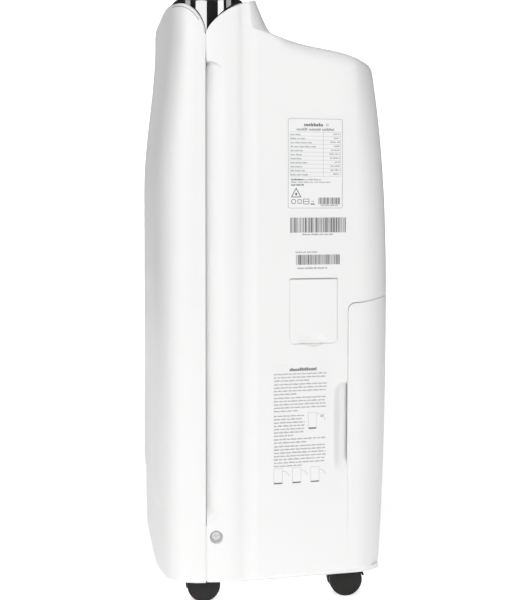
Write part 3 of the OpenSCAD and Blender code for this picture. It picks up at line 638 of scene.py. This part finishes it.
def outline_stations():
    """Right half of the plan: (body point, neck point, how far the neck leans back in there)."""
    turn_y = RIDGE_Y + 10
    turn_x = column_x(turn_y)
    blend_end = 30.0
    ys = [SEAM_Y + s for s in NEAR_SEAM + [28, 29.6]]
    ys += spread(turn_y, TANK_SEAM_Y - 17, 52)
    ys += [TANK_SEAM_Y + d for d in (-15.6, -15.2, -14.6, -13.8, -12.6, -11.2, -9.6, -8,
                                     -6.4, -4.8, -3.4, -2.2, -1.2, -0.4, 2, 5)]
    ys += spread(TANK_SEAM_Y + 8, FACE_END, 2)
    body = [(side_x(y), y) for y in ys] + back_outline(24, 14)
    stations = []
    past = [i for i, p in enumerate(body) if p[1] > blend_end]
    for i, (x, y) in enumerate(body):
        if y <= turn_y:
            stations.append(((x, y), (x, y), 0.0))
        elif i < past[0]:
            a = math.pi / 2 * (y - turn_y) / (blend_end - turn_y)
            neck_x = min(turn_x - NECK_CORNER + NECK_CORNER * math.cos(a), x)
            stations.append(((x, y), (neck_x, turn_y + NECK_TURN * math.sin(a)), math.sin(a) ** 2))
        else:
            t = (i - past[0] + 1) / len(past)
            stations.append(((x, y), (lerp(turn_x - NECK_CORNER, 0, t), turn_y + NECK_TURN), 1.0))
    return stations


def plan_normals(points):
    """Unit inward normals of an outline that runs anticlockwise on the right half."""
    normals = []
    for i in range(len(points)):
        a = Vector(points[max(i - 1, 0)])
        b = Vector(points[min(i + 1, len(points) - 1)])
        d = b - a
        if d.length < 1e-6:
            normals.append(normals[-1] if normals else Vector((-1, 0, 0)))
            continue
        d.normalize()
        normals.append(Vector((-d.y, d.x, 0)))
    normals[-1] = Vector((0, -1, 0))
    return normals


def body_point(p, z, dents=True):
    """Wall point at height z: the back follows the bulged profile, the scoops are pressed in."""
    x, y = p
    drop = (BACK_Y - back_at(z)) * smooth(60, BACK_Y - 6, y)
    if dents:
        x -= scoop_depth(y, z) + grip_depth(y, z)
    return Vector((x, y - drop, z))


def core_side(x, y):
    """Nearest point just outside the core."""
    if x > CORE_HALF:
        away = Vector((x - CORE_HALF, y - CORE_Y, 0)).normalized()
        return Vector((CORE_HALF, CORE_Y, 0)) + away * (CORE_R + 0.8)
    return Vector((x, CORE_Y + CORE_R + 0.8, 0))


REAR_CURVE = notch_curve(*REAR_NOTCH)


def rear_column(station, body_in):
    """Closed section of the shell at one station: up the outside, over the rim and down the inside."""
    body, neck, lean = station
    gap = SEAM_GAP / 2
    s = neck[1] - SEAM_Y
    seam = body[1] - SEAM_Y - gap
    rim = notch_edge(clamp(s - gap, 0, REAR_NOTCH[0]), *REAR_NOTCH) + (NECK_TOP - RIM_Z) * smooth(36, 60, s)
    reach = math.hypot(body[0] - neck[0], body[1] - neck[1])
    wall_top = lerp(556, min(shoulder_z(body[1]), 588), smooth(-68, -42, body[1]))
    wall_top += 0.5 * smooth(0, 12, reach)
    soft = lerp(0.5, 16.0, smooth(0, 34, reach)) - 7.0 * smooth(78, 112, body[1])
    edge = 1.1

    def out(p):
        back = seam_roll(seam)
        if p.z > 572 and s < 60:
            back = max(back, roll(edge_distance(p.y - SEAM_Y, p.z, REAR_CURVE), edge))
        return p + body_in * back

    outer = []
    for a, (z, _) in zip(FOOT_ANGLES, foot_steps(BODY_Z)):
        outer.append(out(body_point(body, z) + body_in * FOOT_ROUND * (1 - math.sin(a))))
    # Rows are closest across the scoop's arch; every column has the same number.
    end = wall_top - soft
    if end > 555.4:
        walls = spread(BODY_Z + FOOT_ROUND, 538, 160)[1:] + spread(538, 554, 28)[1:] + spread(554, end, 6)[1:]
    else:
        walls = spread(BODY_Z + FOOT_ROUND, end, 194)[1:]
    outer += [out(body_point(body, z)) for z in walls]
    wall_end = body_point(body, end)
    corner = body_point(body, wall_top)
    foot_z = lerp(wall_top, shoulder_z(neck[1]) + 1.5, smooth(0, 12, reach))
    foot = Vector((neck[0], neck[1], foot_z))
    inward = foot - corner
    inward = inward / inward.length if inward.length > 0.05 else Vector((0, 0, 0))
    flat = min(soft, reach * 0.5)
    shoulder_start = corner + inward * flat
    fillet = min(10.0, reach * 0.45)
    shoulder_end = foot - inward * fillet
    outer += [out(bezier(wall_end, corner, shoulder_start, t)) for t in spread(0, 1, 10)[1:]]
    outer += [out(shoulder_start.lerp(shoulder_end, t)) for t in spread(0, 1, 10)[1:]]
    wall_foot = Vector((neck[0], neck[1] - lean * 6.0, min(foot.z + 12, rim - 4)))
    outer += [out(bezier(shoulder_end, foot, wall_foot, t)) for t in spread(0, 1, 8)[1:]]
    brow = Vector((neck[0], neck[1] - lean * LEAN, rim))
    outer += [out(wall_foot.lerp(brow, t)) for t in (0.15, 0.3, 0.45, 0.6, 0.72, 0.82, 0.9, 0.95, 0.98, 1.0)]
    # Over the rim to the well around the core.
    well = core_side(brow.x, brow.y)
    across = Vector((well.x - brow.x, well.y - brow.y, 0))
    room = across.length
    across.normalize()
    thick = lerp(WALL, room, smooth(0.5, 0.95, lean))
    inner = [brow + across * lerp(edge, thick, t) for t in spread(0, 1, 3)[1:]]
    neck_low = Vector((inner[-1].x, inner[-1].y, min(foot.z - WALL, rim - 4)))
    inner.append(neck_low)
    base = lerp(COLUMN_WALL, WALL, smooth(20, 34, body[1] - SEAM_Y))
    for z in spread(min(end - WALL, neck_low.z - 0.6), BODY_Z + 0.01, 24):
        near_grip = smooth(GRIP_HIGH + 16, GRIP_HIGH + 6, z) * smooth(GRIP_LOW - 16, GRIP_LOW - 6, z)
        extra = GRIP_WALL * smooth(GRIP_Y - 6, GRIP_Y, body[1]) * near_grip if body[1] < TANK_SEAM_Y + 1 else 0
        inner.append(body_point(body, z, False) + body_in * (base + extra))
    return outer + inner


def face_frame(y, z):
    """Frame on the label face: local x along the face towards the back, local y up, local z out of it."""
    c, s = math.cos(FACE_ANGLE), math.sin(FACE_ANGLE)
    x = FACE_X - FACE_SLOPE * (y - FACE_Y)
    return axes(Vector((x, y, z)), Vector((-s, c, 0)), Z, Vector((c, s, 0)))


COVER_FACE = face_frame(COVER_Y, COVER_Z)


def build_rear_shell():
    """Shell from the seam back, less the tank bay, the grille's opening, the drain pocket and small holes."""
    stations = outline_stations()
    half = [rear_column(s, inward) for s, inward in zip(stations, plan_normals([s[0] for s in stations]))]
    shell = loop_piece("rear_shell_skin", both_sides(half), "cabinet", WHITE, "shell_white")
    # The tank bay, rounded at its upper front corners, is cut across the whole width.
    gap_y, gap_z, beyond = 0.5, 0.6, 200
    bay = [(TANK_SEAM_Y - gap_y, 0), (beyond, 0)]
    bay += [(y, tank_top(y) + gap_z) for y in [beyond] + spread(BACK_Y, TANK_SEAM_Y + 9, 12)]
    bay += [(TANK_SEAM_Y - gap_y + TANK_CORNER - TANK_CORNER * math.cos(a),
             TANK_TOP + gap_z - TANK_CORNER + TANK_CORNER * math.sin(a)) for a in spread(math.pi / 2, 0, 8)]
    back = axes(Vector((0, 60, (GRILLE_Z0 + GRILLE_Z1) / 2)), X, Z, -Y)
    openings = [prism("bay", bay, -beyond, beyond, across()),
                prism("grille", rounded_outline(GRILLE_W, GRILLE_Z1 - GRILLE_Z0, 3), -100, 0, back),
                prism("rebate", rounded_outline(COVER_W, COVER_H, 0.6, 5), -REBATE, 20, COVER_FACE)]
    cut(shell, [join_cutters(openings)])
    nail = COVER_FACE @ Matrix.Translation((0, 18.6 - COVER_H / 2, 0))
    holes = [prism("pocket", POCKET_OUTLINE, -20, -REBATE + 0.5, COVER_FACE),
             prism("nail", circle_outline(21.2, 96), -2.0, 20, nail)]
    for side in (1, -1):
        out = axes(Vector((side * (HALF_W - 9), SCREW_Y, SCREW_Z)), Y, Z, side * X)
        holes.append(prism("screw", circle_outline(6.5, 40), 0, 30, out))
        holes.append(prism("shank", circle_outline(2.1, 20), -30, 0.5, out))
    c, s = math.cos(FACE_ANGLE), math.sin(FACE_ANGLE)
    cord_x = -(FACE_X - FACE_SLOPE * (CORD_Y - FACE_Y))
    far = axes(Vector((cord_x, CORD_Y, CORD_Z)), Z, Vector((s, c, 0)), Vector((-c, s, 0)))
    holes.append(prism("cord", circle_outline(9, 40), -30, 20, far))
    cut(shell, holes)
    finish_shading(shell, 38)
    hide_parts("rear_shell")


# -------- tank front
def build_tank_front():
    """Skin of the water tank, wrapped round the back from seam to seam, and the ribs behind it."""
    z0, r = TANK_LOW.z, 1.4
    ys = [TANK_SEAM_Y + d for d in (0, 0.12, 0.35, 0.7, 1.2, 2, 3, 4.2, 5.6, 7, 8.5)] + [FACE_END]
    body = [(side_x(y), y) for y in ys] + back_outline(28, 16)
    half = []
    for p, inward in zip(body, plan_normals(body)):
        s = p[1] - TANK_SEAM_Y
        corner = TANK_CORNER - math.sqrt(TANK_CORNER ** 2 - (TANK_CORNER - min(s, TANK_CORNER)) ** 2)
        top = tank_top(p[1]) - corner
        side = roll(s, 1.0) if s < 1 else 0
        heights = foot_steps(z0) + [(z, 0) for z in spread(z0 + FOOT_ROUND, top - r, 110)[1:]]
        heights += [(top - r + r * math.sin(a), r * (1 - math.cos(a)))
                    for a in map(math.radians, (22, 45, 67, 90))]
        column = [body_point(p, z, False) + inward * max(back, side) for z, back in heights]
        half.append(column + [body_point(p, z, False) + inward * WALL for z in spread(top, z0, 24)])
    skin = loop_piece("tank_front_skin", both_sides(half), "tank", WHITE, "shell_white")
    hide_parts("tank_front")
    # Ribs between the skin and the bucket.
    rib_y, rib_low, rib_high = 110, 60, 280
    for k, x in enumerate((-90, 0, 90)):
        outline = [(rib_y, rib_low)]
        outline += [(back_at(z) - WALL + 0.4, z) for z in spread(rib_low, rib_high, 8)] + [(rib_y, rib_high)]
        rib = prism("tank_rib_%d" % k, outline, -1.5, 1.5, across(x))
        outward(rib)
        rib.data.materials.append(WHITE)
        attach(rib, "tank")


# -------- drain cover
def build_drain_cover():
    """Thin hinged plate with round lower corners and a finger dimple at its lower edge."""
    w, high, low = COVER_W - 0.24, COVER_H / 2 - 1.1, -COVER_H / 2 + 0.15
    nx, ny = 64, 84
    r_low, r_high = 4.6, 0.8
    dimple_r, dimple_y, dimple_depth = 17.5, low - 5.0, 1.6

    def clip(u, v):
        """Pulls the corner regions of the plate's grid inside its rounded corners."""
        lower = v < (low + high) / 2
        r = r_low if lower else r_high
        cx = w / 2 - r
        cy = low + r if lower else high - r
        dx, dy = abs(u) - cx, (cy - v if lower else v - cy)
        if dx > 0 and dy > 0:
            k = max(dx, dy) / math.hypot(dx, dy)
            dx, dy = dx * k, dy * k
            u = math.copysign(cx + dx, u)
            v = cy - dy if lower else cy + dy
        return u, v

    def height(u, v):
        edge = min(w / 2 - abs(u), v - low, high - v)
        z = -roll(max(edge, 0), 0.4)
        d = math.hypot(u / 1.02, v - dimple_y)
        if d < dimple_r:
            z -= dimple_depth * smooth(dimple_r, dimple_r - 8.0, d)
        return z

    def denser(t):
        """-1 to 1, with steps that shorten towards the ends."""
        return math.copysign(abs(t) ** 0.8, t)

    rows = []
    for j in range(ny + 1):
        line = [clip(w / 2 * denser(i / nx * 2 - 1), lerp(low, high, 0.5 - 0.5 * denser(1 - 2 * (j / ny))))
                for i in range(nx + 1)]
        rows.append([COVER_FACE @ Vector((u, v, height(u, v) - 0.02)) for u, v in line])
    plate = mesh_piece("drain_cover_plate", *grid(rows), m=WHITE, sharp=38)
    solidify(plate, 1.5)
    finish_shading(plate, 38)
    attach(plate, "drain_cover")
    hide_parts("drain_cover")
    # Hinge barrel with its pins.
    axis_y, axis_z = COVER_H / 2 - 1.9, -1.3
    ends = [(w / 2 - inset, r) for inset, r in ((0.5, 0.8), (0.5, 1.2), (6, 1.25), (6.6, 1.0))]
    rings = [[COVER_FACE @ Vector((x, axis_y + r * math.cos(a), axis_z + r * math.sin(a)))
              for a in spread(0, math.tau, 20)[:-1]] for x, r in [(-x, r) for x, r in ends] + ends[::-1]]
    loop_piece("drain_cover_barrel", rings, "drain_cover", WHITE, "shell_white")


def build_drain_pocket():
    """Cup that lines the recess behind the cover: walls down to its depth and a floor, open at the front."""
    outline, wall, top = POCKET_OUTLINE, 1.6, -WALL + 0.2
    n = len(outline)
    wide, tall = (2 * max(p[k] for p in outline) for k in (0, 1))
    outer = [(x * (wide + 2 * wall) / wide, y * (tall + 2 * wall) / tall) for x, y in outline]
    rings = [[(x * k, y * k, z) for x, y in outline]
             for k, z in ((1, top), (1, -POCKET_D + 1.2), (0.97, -POCKET_D + 0.35), (0.93, -POCKET_D))]
    rings += [[(x, y, z) for x, y in outer] for z in (-POCKET_D - wall, top)]
    verts = [COVER_FACE @ Vector(p) for ring in rings for p in ring]
    faces = []
    for a, b in ((0, 1), (1, 2), (2, 3), (4, 5), (5, 0)):
        for i in range(n):
            j = (i + 1) % n
            faces.append((a * n + i, b * n + i, b * n + j, a * n + j))
    faces.append(tuple(3 * n + i for i in range(n)))
    faces.append(tuple(4 * n + i for i in range(n)))
    outward(mesh_piece("drain_pocket_cup", verts, faces, "cabinet", WHITE, "shell_white"))


# -------- deck
# The core's front half is stretched forward by CORE_FRONT; its controls stand in one row, CONTROL_Y.
CORE_FRONT = 1.22
CONTROL_Y = CORE_Y - 17
BUTTON_PITCH, BUTTON_X = 24, -30
DISPLAY_X = 84


def core_ring(extra):
    """Core outline grown by extra: a stadium whose front corners follow the front shell."""
    pts = []
    radius = CORE_R + extra
    for sx, a0 in ((1, -90), (-1, 90)):
        for a in spread(math.radians(a0), math.radians(a0 + 180), 52):
            pts.append([sx * CORE_HALF + radius * math.cos(a), CORE_Y + radius * math.sin(a)])
    # Extra points along the straight front and back keep the clipped front smooth.
    full = []
    for p, q in zip(pts, pts[1:] + pts[:1]):
        full.append(p)
        if abs(p[0] - q[0]) > 100:
            full += [[lerp(p[0], q[0], t), p[1]] for t in spread(0, 1, 24)[1:-1]]
    gap = WALL + 0.8 - extra
    w, b = SEAM_X - gap, front_bow(RIM_Z) - gap
    out = []
    for x, y in full:
        if y < CORE_Y:
            y = CORE_Y + (y - CORE_Y) * CORE_FRONT
        s = SEAM_Y - y
        if s > 0:
            f = (abs(x) / w) ** PLAN_POWER + (s / b) ** PLAN_POWER
            if f > 1:
                k = f ** (-1 / PLAN_POWER)
                x, y = x * k, SEAM_Y - s * k
        out.append((x, y))
    return out


def build_deck():
    """Black core between the shells, hollowed out and open for the outlet, the buttons and the display."""
    low, high = DECK_LOW.z, DECK_HIGH.z
    r, wall = 3.0, 3
    rings = [(z, 0) for z in spread(low, high - r, 4)]
    rings += [(high - r + r * math.sin(a), -r * (1 - math.cos(a)))
              for a in map(math.radians, (15, 30, 45, 60, 75, 90))]
    rings.append((high, -r - 3))
    rings = [[Vector((x, y, z)) for x, y in core_ring(e)] for z, e in rings]
    deck = loop_piece("deck_body", rings, "cabinet", BLACK, "deck_black", 30)

    def hole(name, outline, x, y, z0=high - 10, z1=high + 10):
        return prism(name, outline, z0, z1, Matrix.Translation((x, y, 0)))

    holes = [prism("cavity", core_ring(-wall), low - 5, high - wall),
             hole("outlet", rounded_outline(220, 26, 1.5), 0, CORE_Y + 15)]
    for i in range(5):
        holes.append(hole("button", circle_outline(6.3, 40), (i - 2) * BUTTON_PITCH + BUTTON_X, CONTROL_Y))
    holes.append(hole("seat", rounded_outline(52, 18, 1.2), DISPLAY_X, CONTROL_Y, high - 1.5))
    holes.append(hole("window", rounded_outline(44, 12, 1), DISPLAY_X, CONTROL_Y))
    duct = CORE_R + 5
    holes.append(hole("duct", rounded_outline(228, duct, 0.5), 0, CORE_Y + duct / 2, low - 1, low + 26))
    cut(deck, holes)
    finish_shading(deck, 30)
    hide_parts("control_deck")


# -------- printing
def strokes(name, place, boxes, m, lift=0.33, thick=0.04):
    """Thin printed marks: boxes are (x0, y0, x1, y1) or closed polygons of points, in local millimetres."""
    verts, faces = [], []
    for b in boxes:
        outline = b if hasattr(b[0], "__len__") else [(b[0], b[1]), (b[2], b[1]), (b[2], b[3]), (b[0], b[3])]
        n, k = len(outline), len(verts)
        verts += [place @ Vector((x, y, lift)) for x, y in outline]
        verts += [place @ Vector((x, y, lift + thick)) for x, y in outline]
        faces.append(tuple(k + n - 1 - i for i in range(n)))
        faces.append(tuple(k + n + i for i in range(n)))
        faces += [(k + i, k + (i + 1) % n, k + n + (i + 1) % n, k + n + i) for i in range(n)]
    mesh_piece(name, verts, faces, "cabinet", m, "label_paper", 30)


def word_line(rng, x0, x1, y, size, word=(2.4, 6.5), gap=0.9):
    """Short bars that stand for the words of a printed line, each broken into letter-like parts."""
    out = []
    x = x0
    while x < x1 - 1:
        end = min(x + rng.uniform(*word), x1)
        while x < end - 0.25:
            step = size * rng.uniform(0.45, 0.7)
            tall = size * rng.choice((0.72, 0.72, 0.8, 1.0))
            out.append((x, y, min(x + step * 0.78, end), y + tall))
            x += step
        x = end + gap
    return out


def frame_line(x0, y0, x1, y1, t):
    """Four strokes around a rectangle."""
    return [(x0, y0, x1, y0 + t), (x0, y1 - t, x1, y1), (x0, y0, x0 + t, y1), (x1 - t, y0, x1, y1)]


def rounded_ring(w, h, r, t, cx=0, cy=0):
    """Outline stroke of a rounded rectangle, as short quads."""
    rings = [rounded_outline(w, h, r), rounded_outline(w - 2 * t, h - 2 * t, r - t)]
    return ring_quads(*[[(x + cx, y + cy) for x, y in ring] for ring in rings])


def ring_quads(out, inn):
    """Quads between two closed outlines of as many points."""
    n = len(out)
    return [[out[i], out[(i + 1) % n], inn[(i + 1) % n], inn[i]] for i in range(n)]


def bar_block(rng, x0, x1, y0, y1):
    """Upright bars of uneven width with no code in them."""
    out, x = [], x0
    while x < x1 - 0.6:
        w = rng.choice((0.4, 0.4, 0.7, 1.0, 1.4))
        out.append((x, y0, min(x + w, x1), y1))
        x += w + rng.choice((0.4, 0.4, 0.6, 0.9))
    return out


def arc_stroke(cx, cy, r, a0, a1, t):
    """Stroke of width t along an arc from a0 to a1 degrees."""
    angles = spread(math.radians(a0), math.radians(a1), 14)
    out, inn = ([(cx + q * math.cos(a), cy + q * math.sin(a)) for a in angles] for q in (r + t, r))
    return ring_quads(out, inn)[:-1]


def print_rating(rng):
    """Rating plate: border, two heading lines, a ruled table, three short lines, plain marks and bars."""
    plate = face_frame(39, 450.8)
    thin, side, column = 0.22, 27, 8.4
    top, row, rows = 31.6, 4.05, 11
    foot = top - rows * row
    rules = [(-side, top - i * row, side, top - i * row + thin) for i in range(rows + 1)]
    rules += [(-side, foot, -side + thin, top), (column, foot, column + thin, top),
              (side - thin, foot, side, top + thin)]
    strokes("rating_rules", plate, rounded_ring(58, 90.5, 2.2, 0.4) + rules, INK_LIGHT)
    heads = word_line(rng, -12, 9, 37.6, 3.2, (20, 20)) + arc_stroke(12.5, 39.2, 1.0, 0, 360, 0.35)
    strokes("rating_heading", plate, heads, INK)
    words = word_line(rng, -20, 20, 33.2, 2.6, (9, 18), 1.6)
    for i in range(rows):
        y = top - (i + 1) * row + 0.9
        words += word_line(rng, -26, rng.uniform(-22, 5), y, 1.5)
        words += word_line(rng, rng.uniform(15, 21), 26, y + 0.8, 1.5)
    words += word_line(rng, -26, 6, -17.0, 1.5) + word_line(rng, -26, 16, -19.4, 1.3)
    words += word_line(rng, 6, 24, -43.0, 1.5)
    strokes("rating_words", plate, words, INK_LIGHT)
    bold = word_line(rng, -26, -13, -17.0, 1.7) + word_line(rng, -26, -12, -22.4, 1.6)
    # Plain triangle outline and four plain marks.
    tri = [(-26, -34.2), (-14.8, -34.2), (-20.4, -24.2)]
    inn = [(-24.6, -33.4), (-16.2, -33.4), (-20.4, -25.9)]
    bold += ring_quads(tri, inn)
    bold += [[(-20.4, -29.0), (-19.0, -31.2), (-20.4, -32.6), (-21.8, -31.2)]]
    bold += arc_stroke(-23.0, -38.4, 2.0, 0, 360, 0.6) + rounded_ring(4.2, 4.2, 0.4, 0.6, -16.8, -38.4)
    bold += rounded_ring(6.6, 5.6, 0.8, 0.6, -9.8, -38.4) + [(-12.4, -38.6, -7.2, -38.1)]
    bold += [(-5.2, -41.6, -0.8, -40.4), (-4.4, -38.6, -1.6, -38.1)]
    strokes("rating_marks", plate, bold, INK)
    strokes("rating_bars", plate, bar_block(rng, 3.2, 26.5, -41.2, -34.4), INK)


def print_stickers(rng):
    """Two stickers of bars with captions."""
    upper = face_frame(42, 387.5)
    strokes("upper_bars", upper, bar_block(rng, -29.5, 30, -6.5, 8.6), INK)
    strokes("upper_caption", upper, word_line(rng, -17, 17, -9.2, 1.7, (3, 9)), INK_LIGHT)
    lower = face_frame(42, 353.5)
    strokes("lower_bars", lower, bar_block(rng, -23.5, 23.5, -5.0, 5.0), INK)
    captions = word_line(rng, -24, -1, 7.0, 1.7, (3, 7)) + word_line(rng, -22, 10, -9.4, 1.9, (3, 9))
    # These two lines are on the shell itself, beside the sticker.
    strokes("lower_caption", lower, captions, INK_LIGHT, lift=0.02)


def print_notice(rng):
    """Notice: a heading, paragraphs, a small figure and three little pictures of plain boxes with a hose."""
    notice = face_frame(23.5, 186)
    line_pitch, pictures_x, pictures_y = 3.32, (-23.6, -4.0, 15.4), -50.6
    strokes("notice_heading", notice, word_line(rng, -11.5, 17, 55.0, 3.2, (28, 30)), INK)
    lines, y = [], 51.4
    for count, right in ((3, 28), (4, 29), (5, 28), (7, 5), (2, 27), (7, 28)):
        for i in range(count):
            last = i == count - 1
            end = right - (rng.uniform(16, 40) * (0.4 if right < 10 else 1) if last else rng.uniform(0, 2))
            lines += word_line(rng, -28, max(end, -14), y, 1.55)
            y -= line_pitch
        y -= 1.7 if count == 5 else 0.4
    strokes("notice_words", notice, lines, INK_LIGHT)

    def picture(cx, cy, w, h, hose):
        out = frame_line(cx - w / 2, cy - h / 2, cx + w / 2, cy + h / 2, 0.22)
        out += arc_stroke(cx + w / 2 + 0.2, cy - hose * 0.3, hose, 10, 88, 0.3)
        return out

    soft = picture(12.8, 4.6, 9.2, 15.5, 8.5)
    for cx in pictures_x:
        soft += picture(cx, pictures_y, 9.2, 15.0, 6.4)
    strokes("notice_pictures", notice, soft, INK_LIGHT)
    dark = [(8.6, -4.5, 16.8, -3.2)] + [(cx - 4.4, -58.8, cx + 4.4, -57.5) for cx in pictures_x]
    dark += [[(21.2, 8.2), (22.4, 7.0), (25.0, 9.8), (24.6, 10.2), (22.4, 8.0), (21.6, 8.8)]]
    strokes("notice_marks", notice, dark, INK)


# -------- painted shadow lines, and strips at the seam
def tube(name, points, r):
    """Thin round dark tube along a path: a line of painted shadow."""
    rings = []
    for i, p in enumerate(points):
        run = (points[min(i + 1, len(points) - 1)] - points[max(i - 1, 0)]).normalized()
        a = run.cross(Vector((1, 0, 0.2))).normalized()
        b = run.cross(a)
        rings.append([p + a * (r * math.cos(t)) + b * (r * math.sin(t)) for t in spread(0, math.tau, 8)[:-1]])
    # The dark grey makes the tube a line of painted shadow.
    loop_piece(name, rings, "cabinet", SHADOW, "shell_white")


def build_lip_shadow_lines():
    """Fine dark tube along the lip of the front shell on each side of the deck: the painted shadow of the
    groove under the lip.
    """
    path = []
    below, step = 3.2, 0.5
    for s in spread(4.0, 30, 60):
        z = front_rim(s)
        slope = Vector((step, front_rim(s + step) - z)).normalized()
        path.append((s + slope.y * below, z - slope.x * below))
    for side, tag in ((1, "right"), (-1, "left")):
        points = []
        for s, z in path:
            y = SEAM_Y - SEAM_GAP / 2 - s
            forward = (SEAM_Y - y) / front_bow(z)
            x = SEAM_X * max(0.0, 1 - forward ** PLAN_POWER) ** (1 / PLAN_POWER)
            points.append(Vector((side * (x + 0.05), y, z)))
        # A dark line of painted shadow in the groove under the lip.
        tube("front_lip_painted_shadow_" + tag, points, 0.3)


def build_seam_tongues():
    """Strips just behind the gap between the two shells, so that no light comes through it."""
    for side, tag in ((1, "right"), (-1, "left")):
        rings = []
        x = SEAM_X - 0.7
        for z in spread(BODY_Z + 2, NOTCH_Z - 1, 60):
            back_x = x - scoop_depth(SEAM_Y, z)
            section = ((x, -2.2), (x, -0.4), (back_x, 0.5), (back_x - 1.5, 0.5), (x - 9, -2.2))
            rings.append([(side * reach, SEAM_Y + y, z) for reach, y in section])
        loop_piece("seam_tongue_" + tag, rings, "cabinet", WHITE, "shell_white", 30)


# -------- build
build_front_shell()
build_rear_shell()
build_tank_front()
build_drain_cover()
build_drain_pocket()
build_deck()
build_seam_tongues()
build_lip_shadow_lines()
ink_rng = random.Random(7)
print_rating(ink_rng)
print_stickers(ink_rng)
print_notice(ink_rng)


# -------- floor, lights, camera
# The camera, matched to the photograph; distances in millimetres, angles in radians, focal length in pixels.
CAMERA_PLACE = Vector((1482.4, -192.4, 417.7))
VIEW_YAW, VIEW_PITCH = 0.1364, 0.0241
FOCAL_PX, IMAGE_PX, SENSOR = 1317.2, 600, 36


def build_stage():
    """Pale studio sweep in line with the camera: a floor that curves up into a wall far behind."""
    near, bend, wall, high, half_width = 1500, -3000, 900, 2600, 1350
    profile = [(near, 0), (0, 0), (-1500, 0), (bend, 0)]
    profile += [(bend - wall * math.sin(a), wall - wall * math.cos(a)) for a in spread(0, math.pi / 2, 10)[1:]]
    profile += [(bend - wall, high)]
    yaw = Matrix.Rotation(-VIEW_YAW, 4, "Z")
    rows = [[yaw @ Vector((x, y, z)) for y in spread(-half_width, half_width, 12)] for x, z in profile]
    m, tree, shader = material("studio_floor_white", (0.9, 0.9, 0.9), 0.7, specular=0.1)
    tree.links.new(ramp(tree, noise(tree, 3, 3), 0.895, 0.905), shader.inputs["Base Color"])
    shader.inputs["Emission Color"].default_value = (1, 1, 1, 1)
    # The sweep glows more towards the wall, so that it ends up white.
    split = tree.nodes.new("ShaderNodeSeparateXYZ")
    tree.links.new(object_space(tree), split.inputs["Vector"])
    distance = tree.nodes.new("ShaderNodeMapRange")
    tune(distance, From_Min=-0.6, From_Max=-2.4, To_Min=0.58, To_Max=1.0)
    tree.links.new(split.outputs["X"], distance.inputs["Value"])
    tree.links.new(distance.outputs["Result"], shader.inputs["Emission Strength"])
    floor = mesh_piece("studio_floor", *grid(rows), m=m)


def area_light(name, place, target, w, h, radiance):
    """Rectangular softbox of w by h millimetres; radiance is how bright its face is."""
    data = bpy.data.lights.new(name, "AREA")
    data.shape = "RECTANGLE"
    data.size, data.size_y = w * MM, h * MM
    data.energy = radiance * math.pi * w * h * MM * MM
    lamp = link(bpy.data.objects.new(name, data))
    lamp.location = Vector(place) * MM
    lamp.rotation_euler = (Vector(target) - Vector(place)).to_track_quat("-Z", "Y").to_euler()


def softbox(name, low, high, z0, z1, radiance):
    """Upright softbox that spans the bearings low to high, in degrees, as seen from the deck's end."""
    distance = 2600
    middle = math.radians((low + high) / 2)
    hub = Vector((CORE_HALF + CORE_R, CORE_Y, 0))
    place = hub + Vector((math.cos(middle), math.sin(middle), 0)) * distance
    place.z = (z0 + z1) / 2
    width = 2 * distance * math.tan(math.radians((high - low) / 2))
    area_light(name, place, (hub.x, hub.y, place.z), width, z1 - z0, radiance)


def build_camera():
    flat = math.cos(VIEW_PITCH)
    look = Vector((-math.cos(VIEW_YAW) * flat, math.sin(VIEW_YAW) * flat, -math.sin(VIEW_PITCH)))
    data = bpy.data.cameras.new("camera")
    data.sensor_width = SENSOR
    data.lens = FOCAL_PX * SENSOR / IMAGE_PX
    data.shift_y = -0.12
    data.clip_end = 50
    cam = link(bpy.data.objects.new("camera", data))
    cam.location = CAMERA_PLACE * MM
    cam.rotation_euler = look.to_track_quat("-Z", "Y").to_euler()
    bpy.context.scene.camera = cam


# Name, first and last bearing, lower and upper edge, brightness. The strips make the bands in the black core.
SOFTBOXES = (
    ("strip_near_left", -39.5, -11.5, 830, 1310, 9.0),
    ("strip_near_right", 20.5, 41.7, 830, 1310, 9.6),
    ("strip_far_left", -72, -55.5, 830, 1310, 4.0),
    ("strip_far_right", 52.6, 72.6, 830, 1310, 3.5),
    ("key", -26, 14, 1360, 2400, 3.3),
    ("side", -82, -42, 1360, 2300, 3.6),
    ("fill", -40, 10, 300, 780, 0.3),
)

build_stage()
build_camera()
for box in SOFTBOXES:
    softbox(*box)
area_light("top", (300, 0, 2600), (0, 0, 0), 1400, 1400, 1.6)
area_light("backdrop", (-2400, 400, 2600), (-3600, 500, 400), 2400, 600, 3.0)
world = bpy.data.worlds.new("studio")
world.use_nodes = True
tune(world.node_tree.nodes["Background"], Color=(1, 1, 1, 1), Strength=0.06)
bpy.context.scene.world = world
bpy.context.scene.view_settings.view_transform = "Standard"
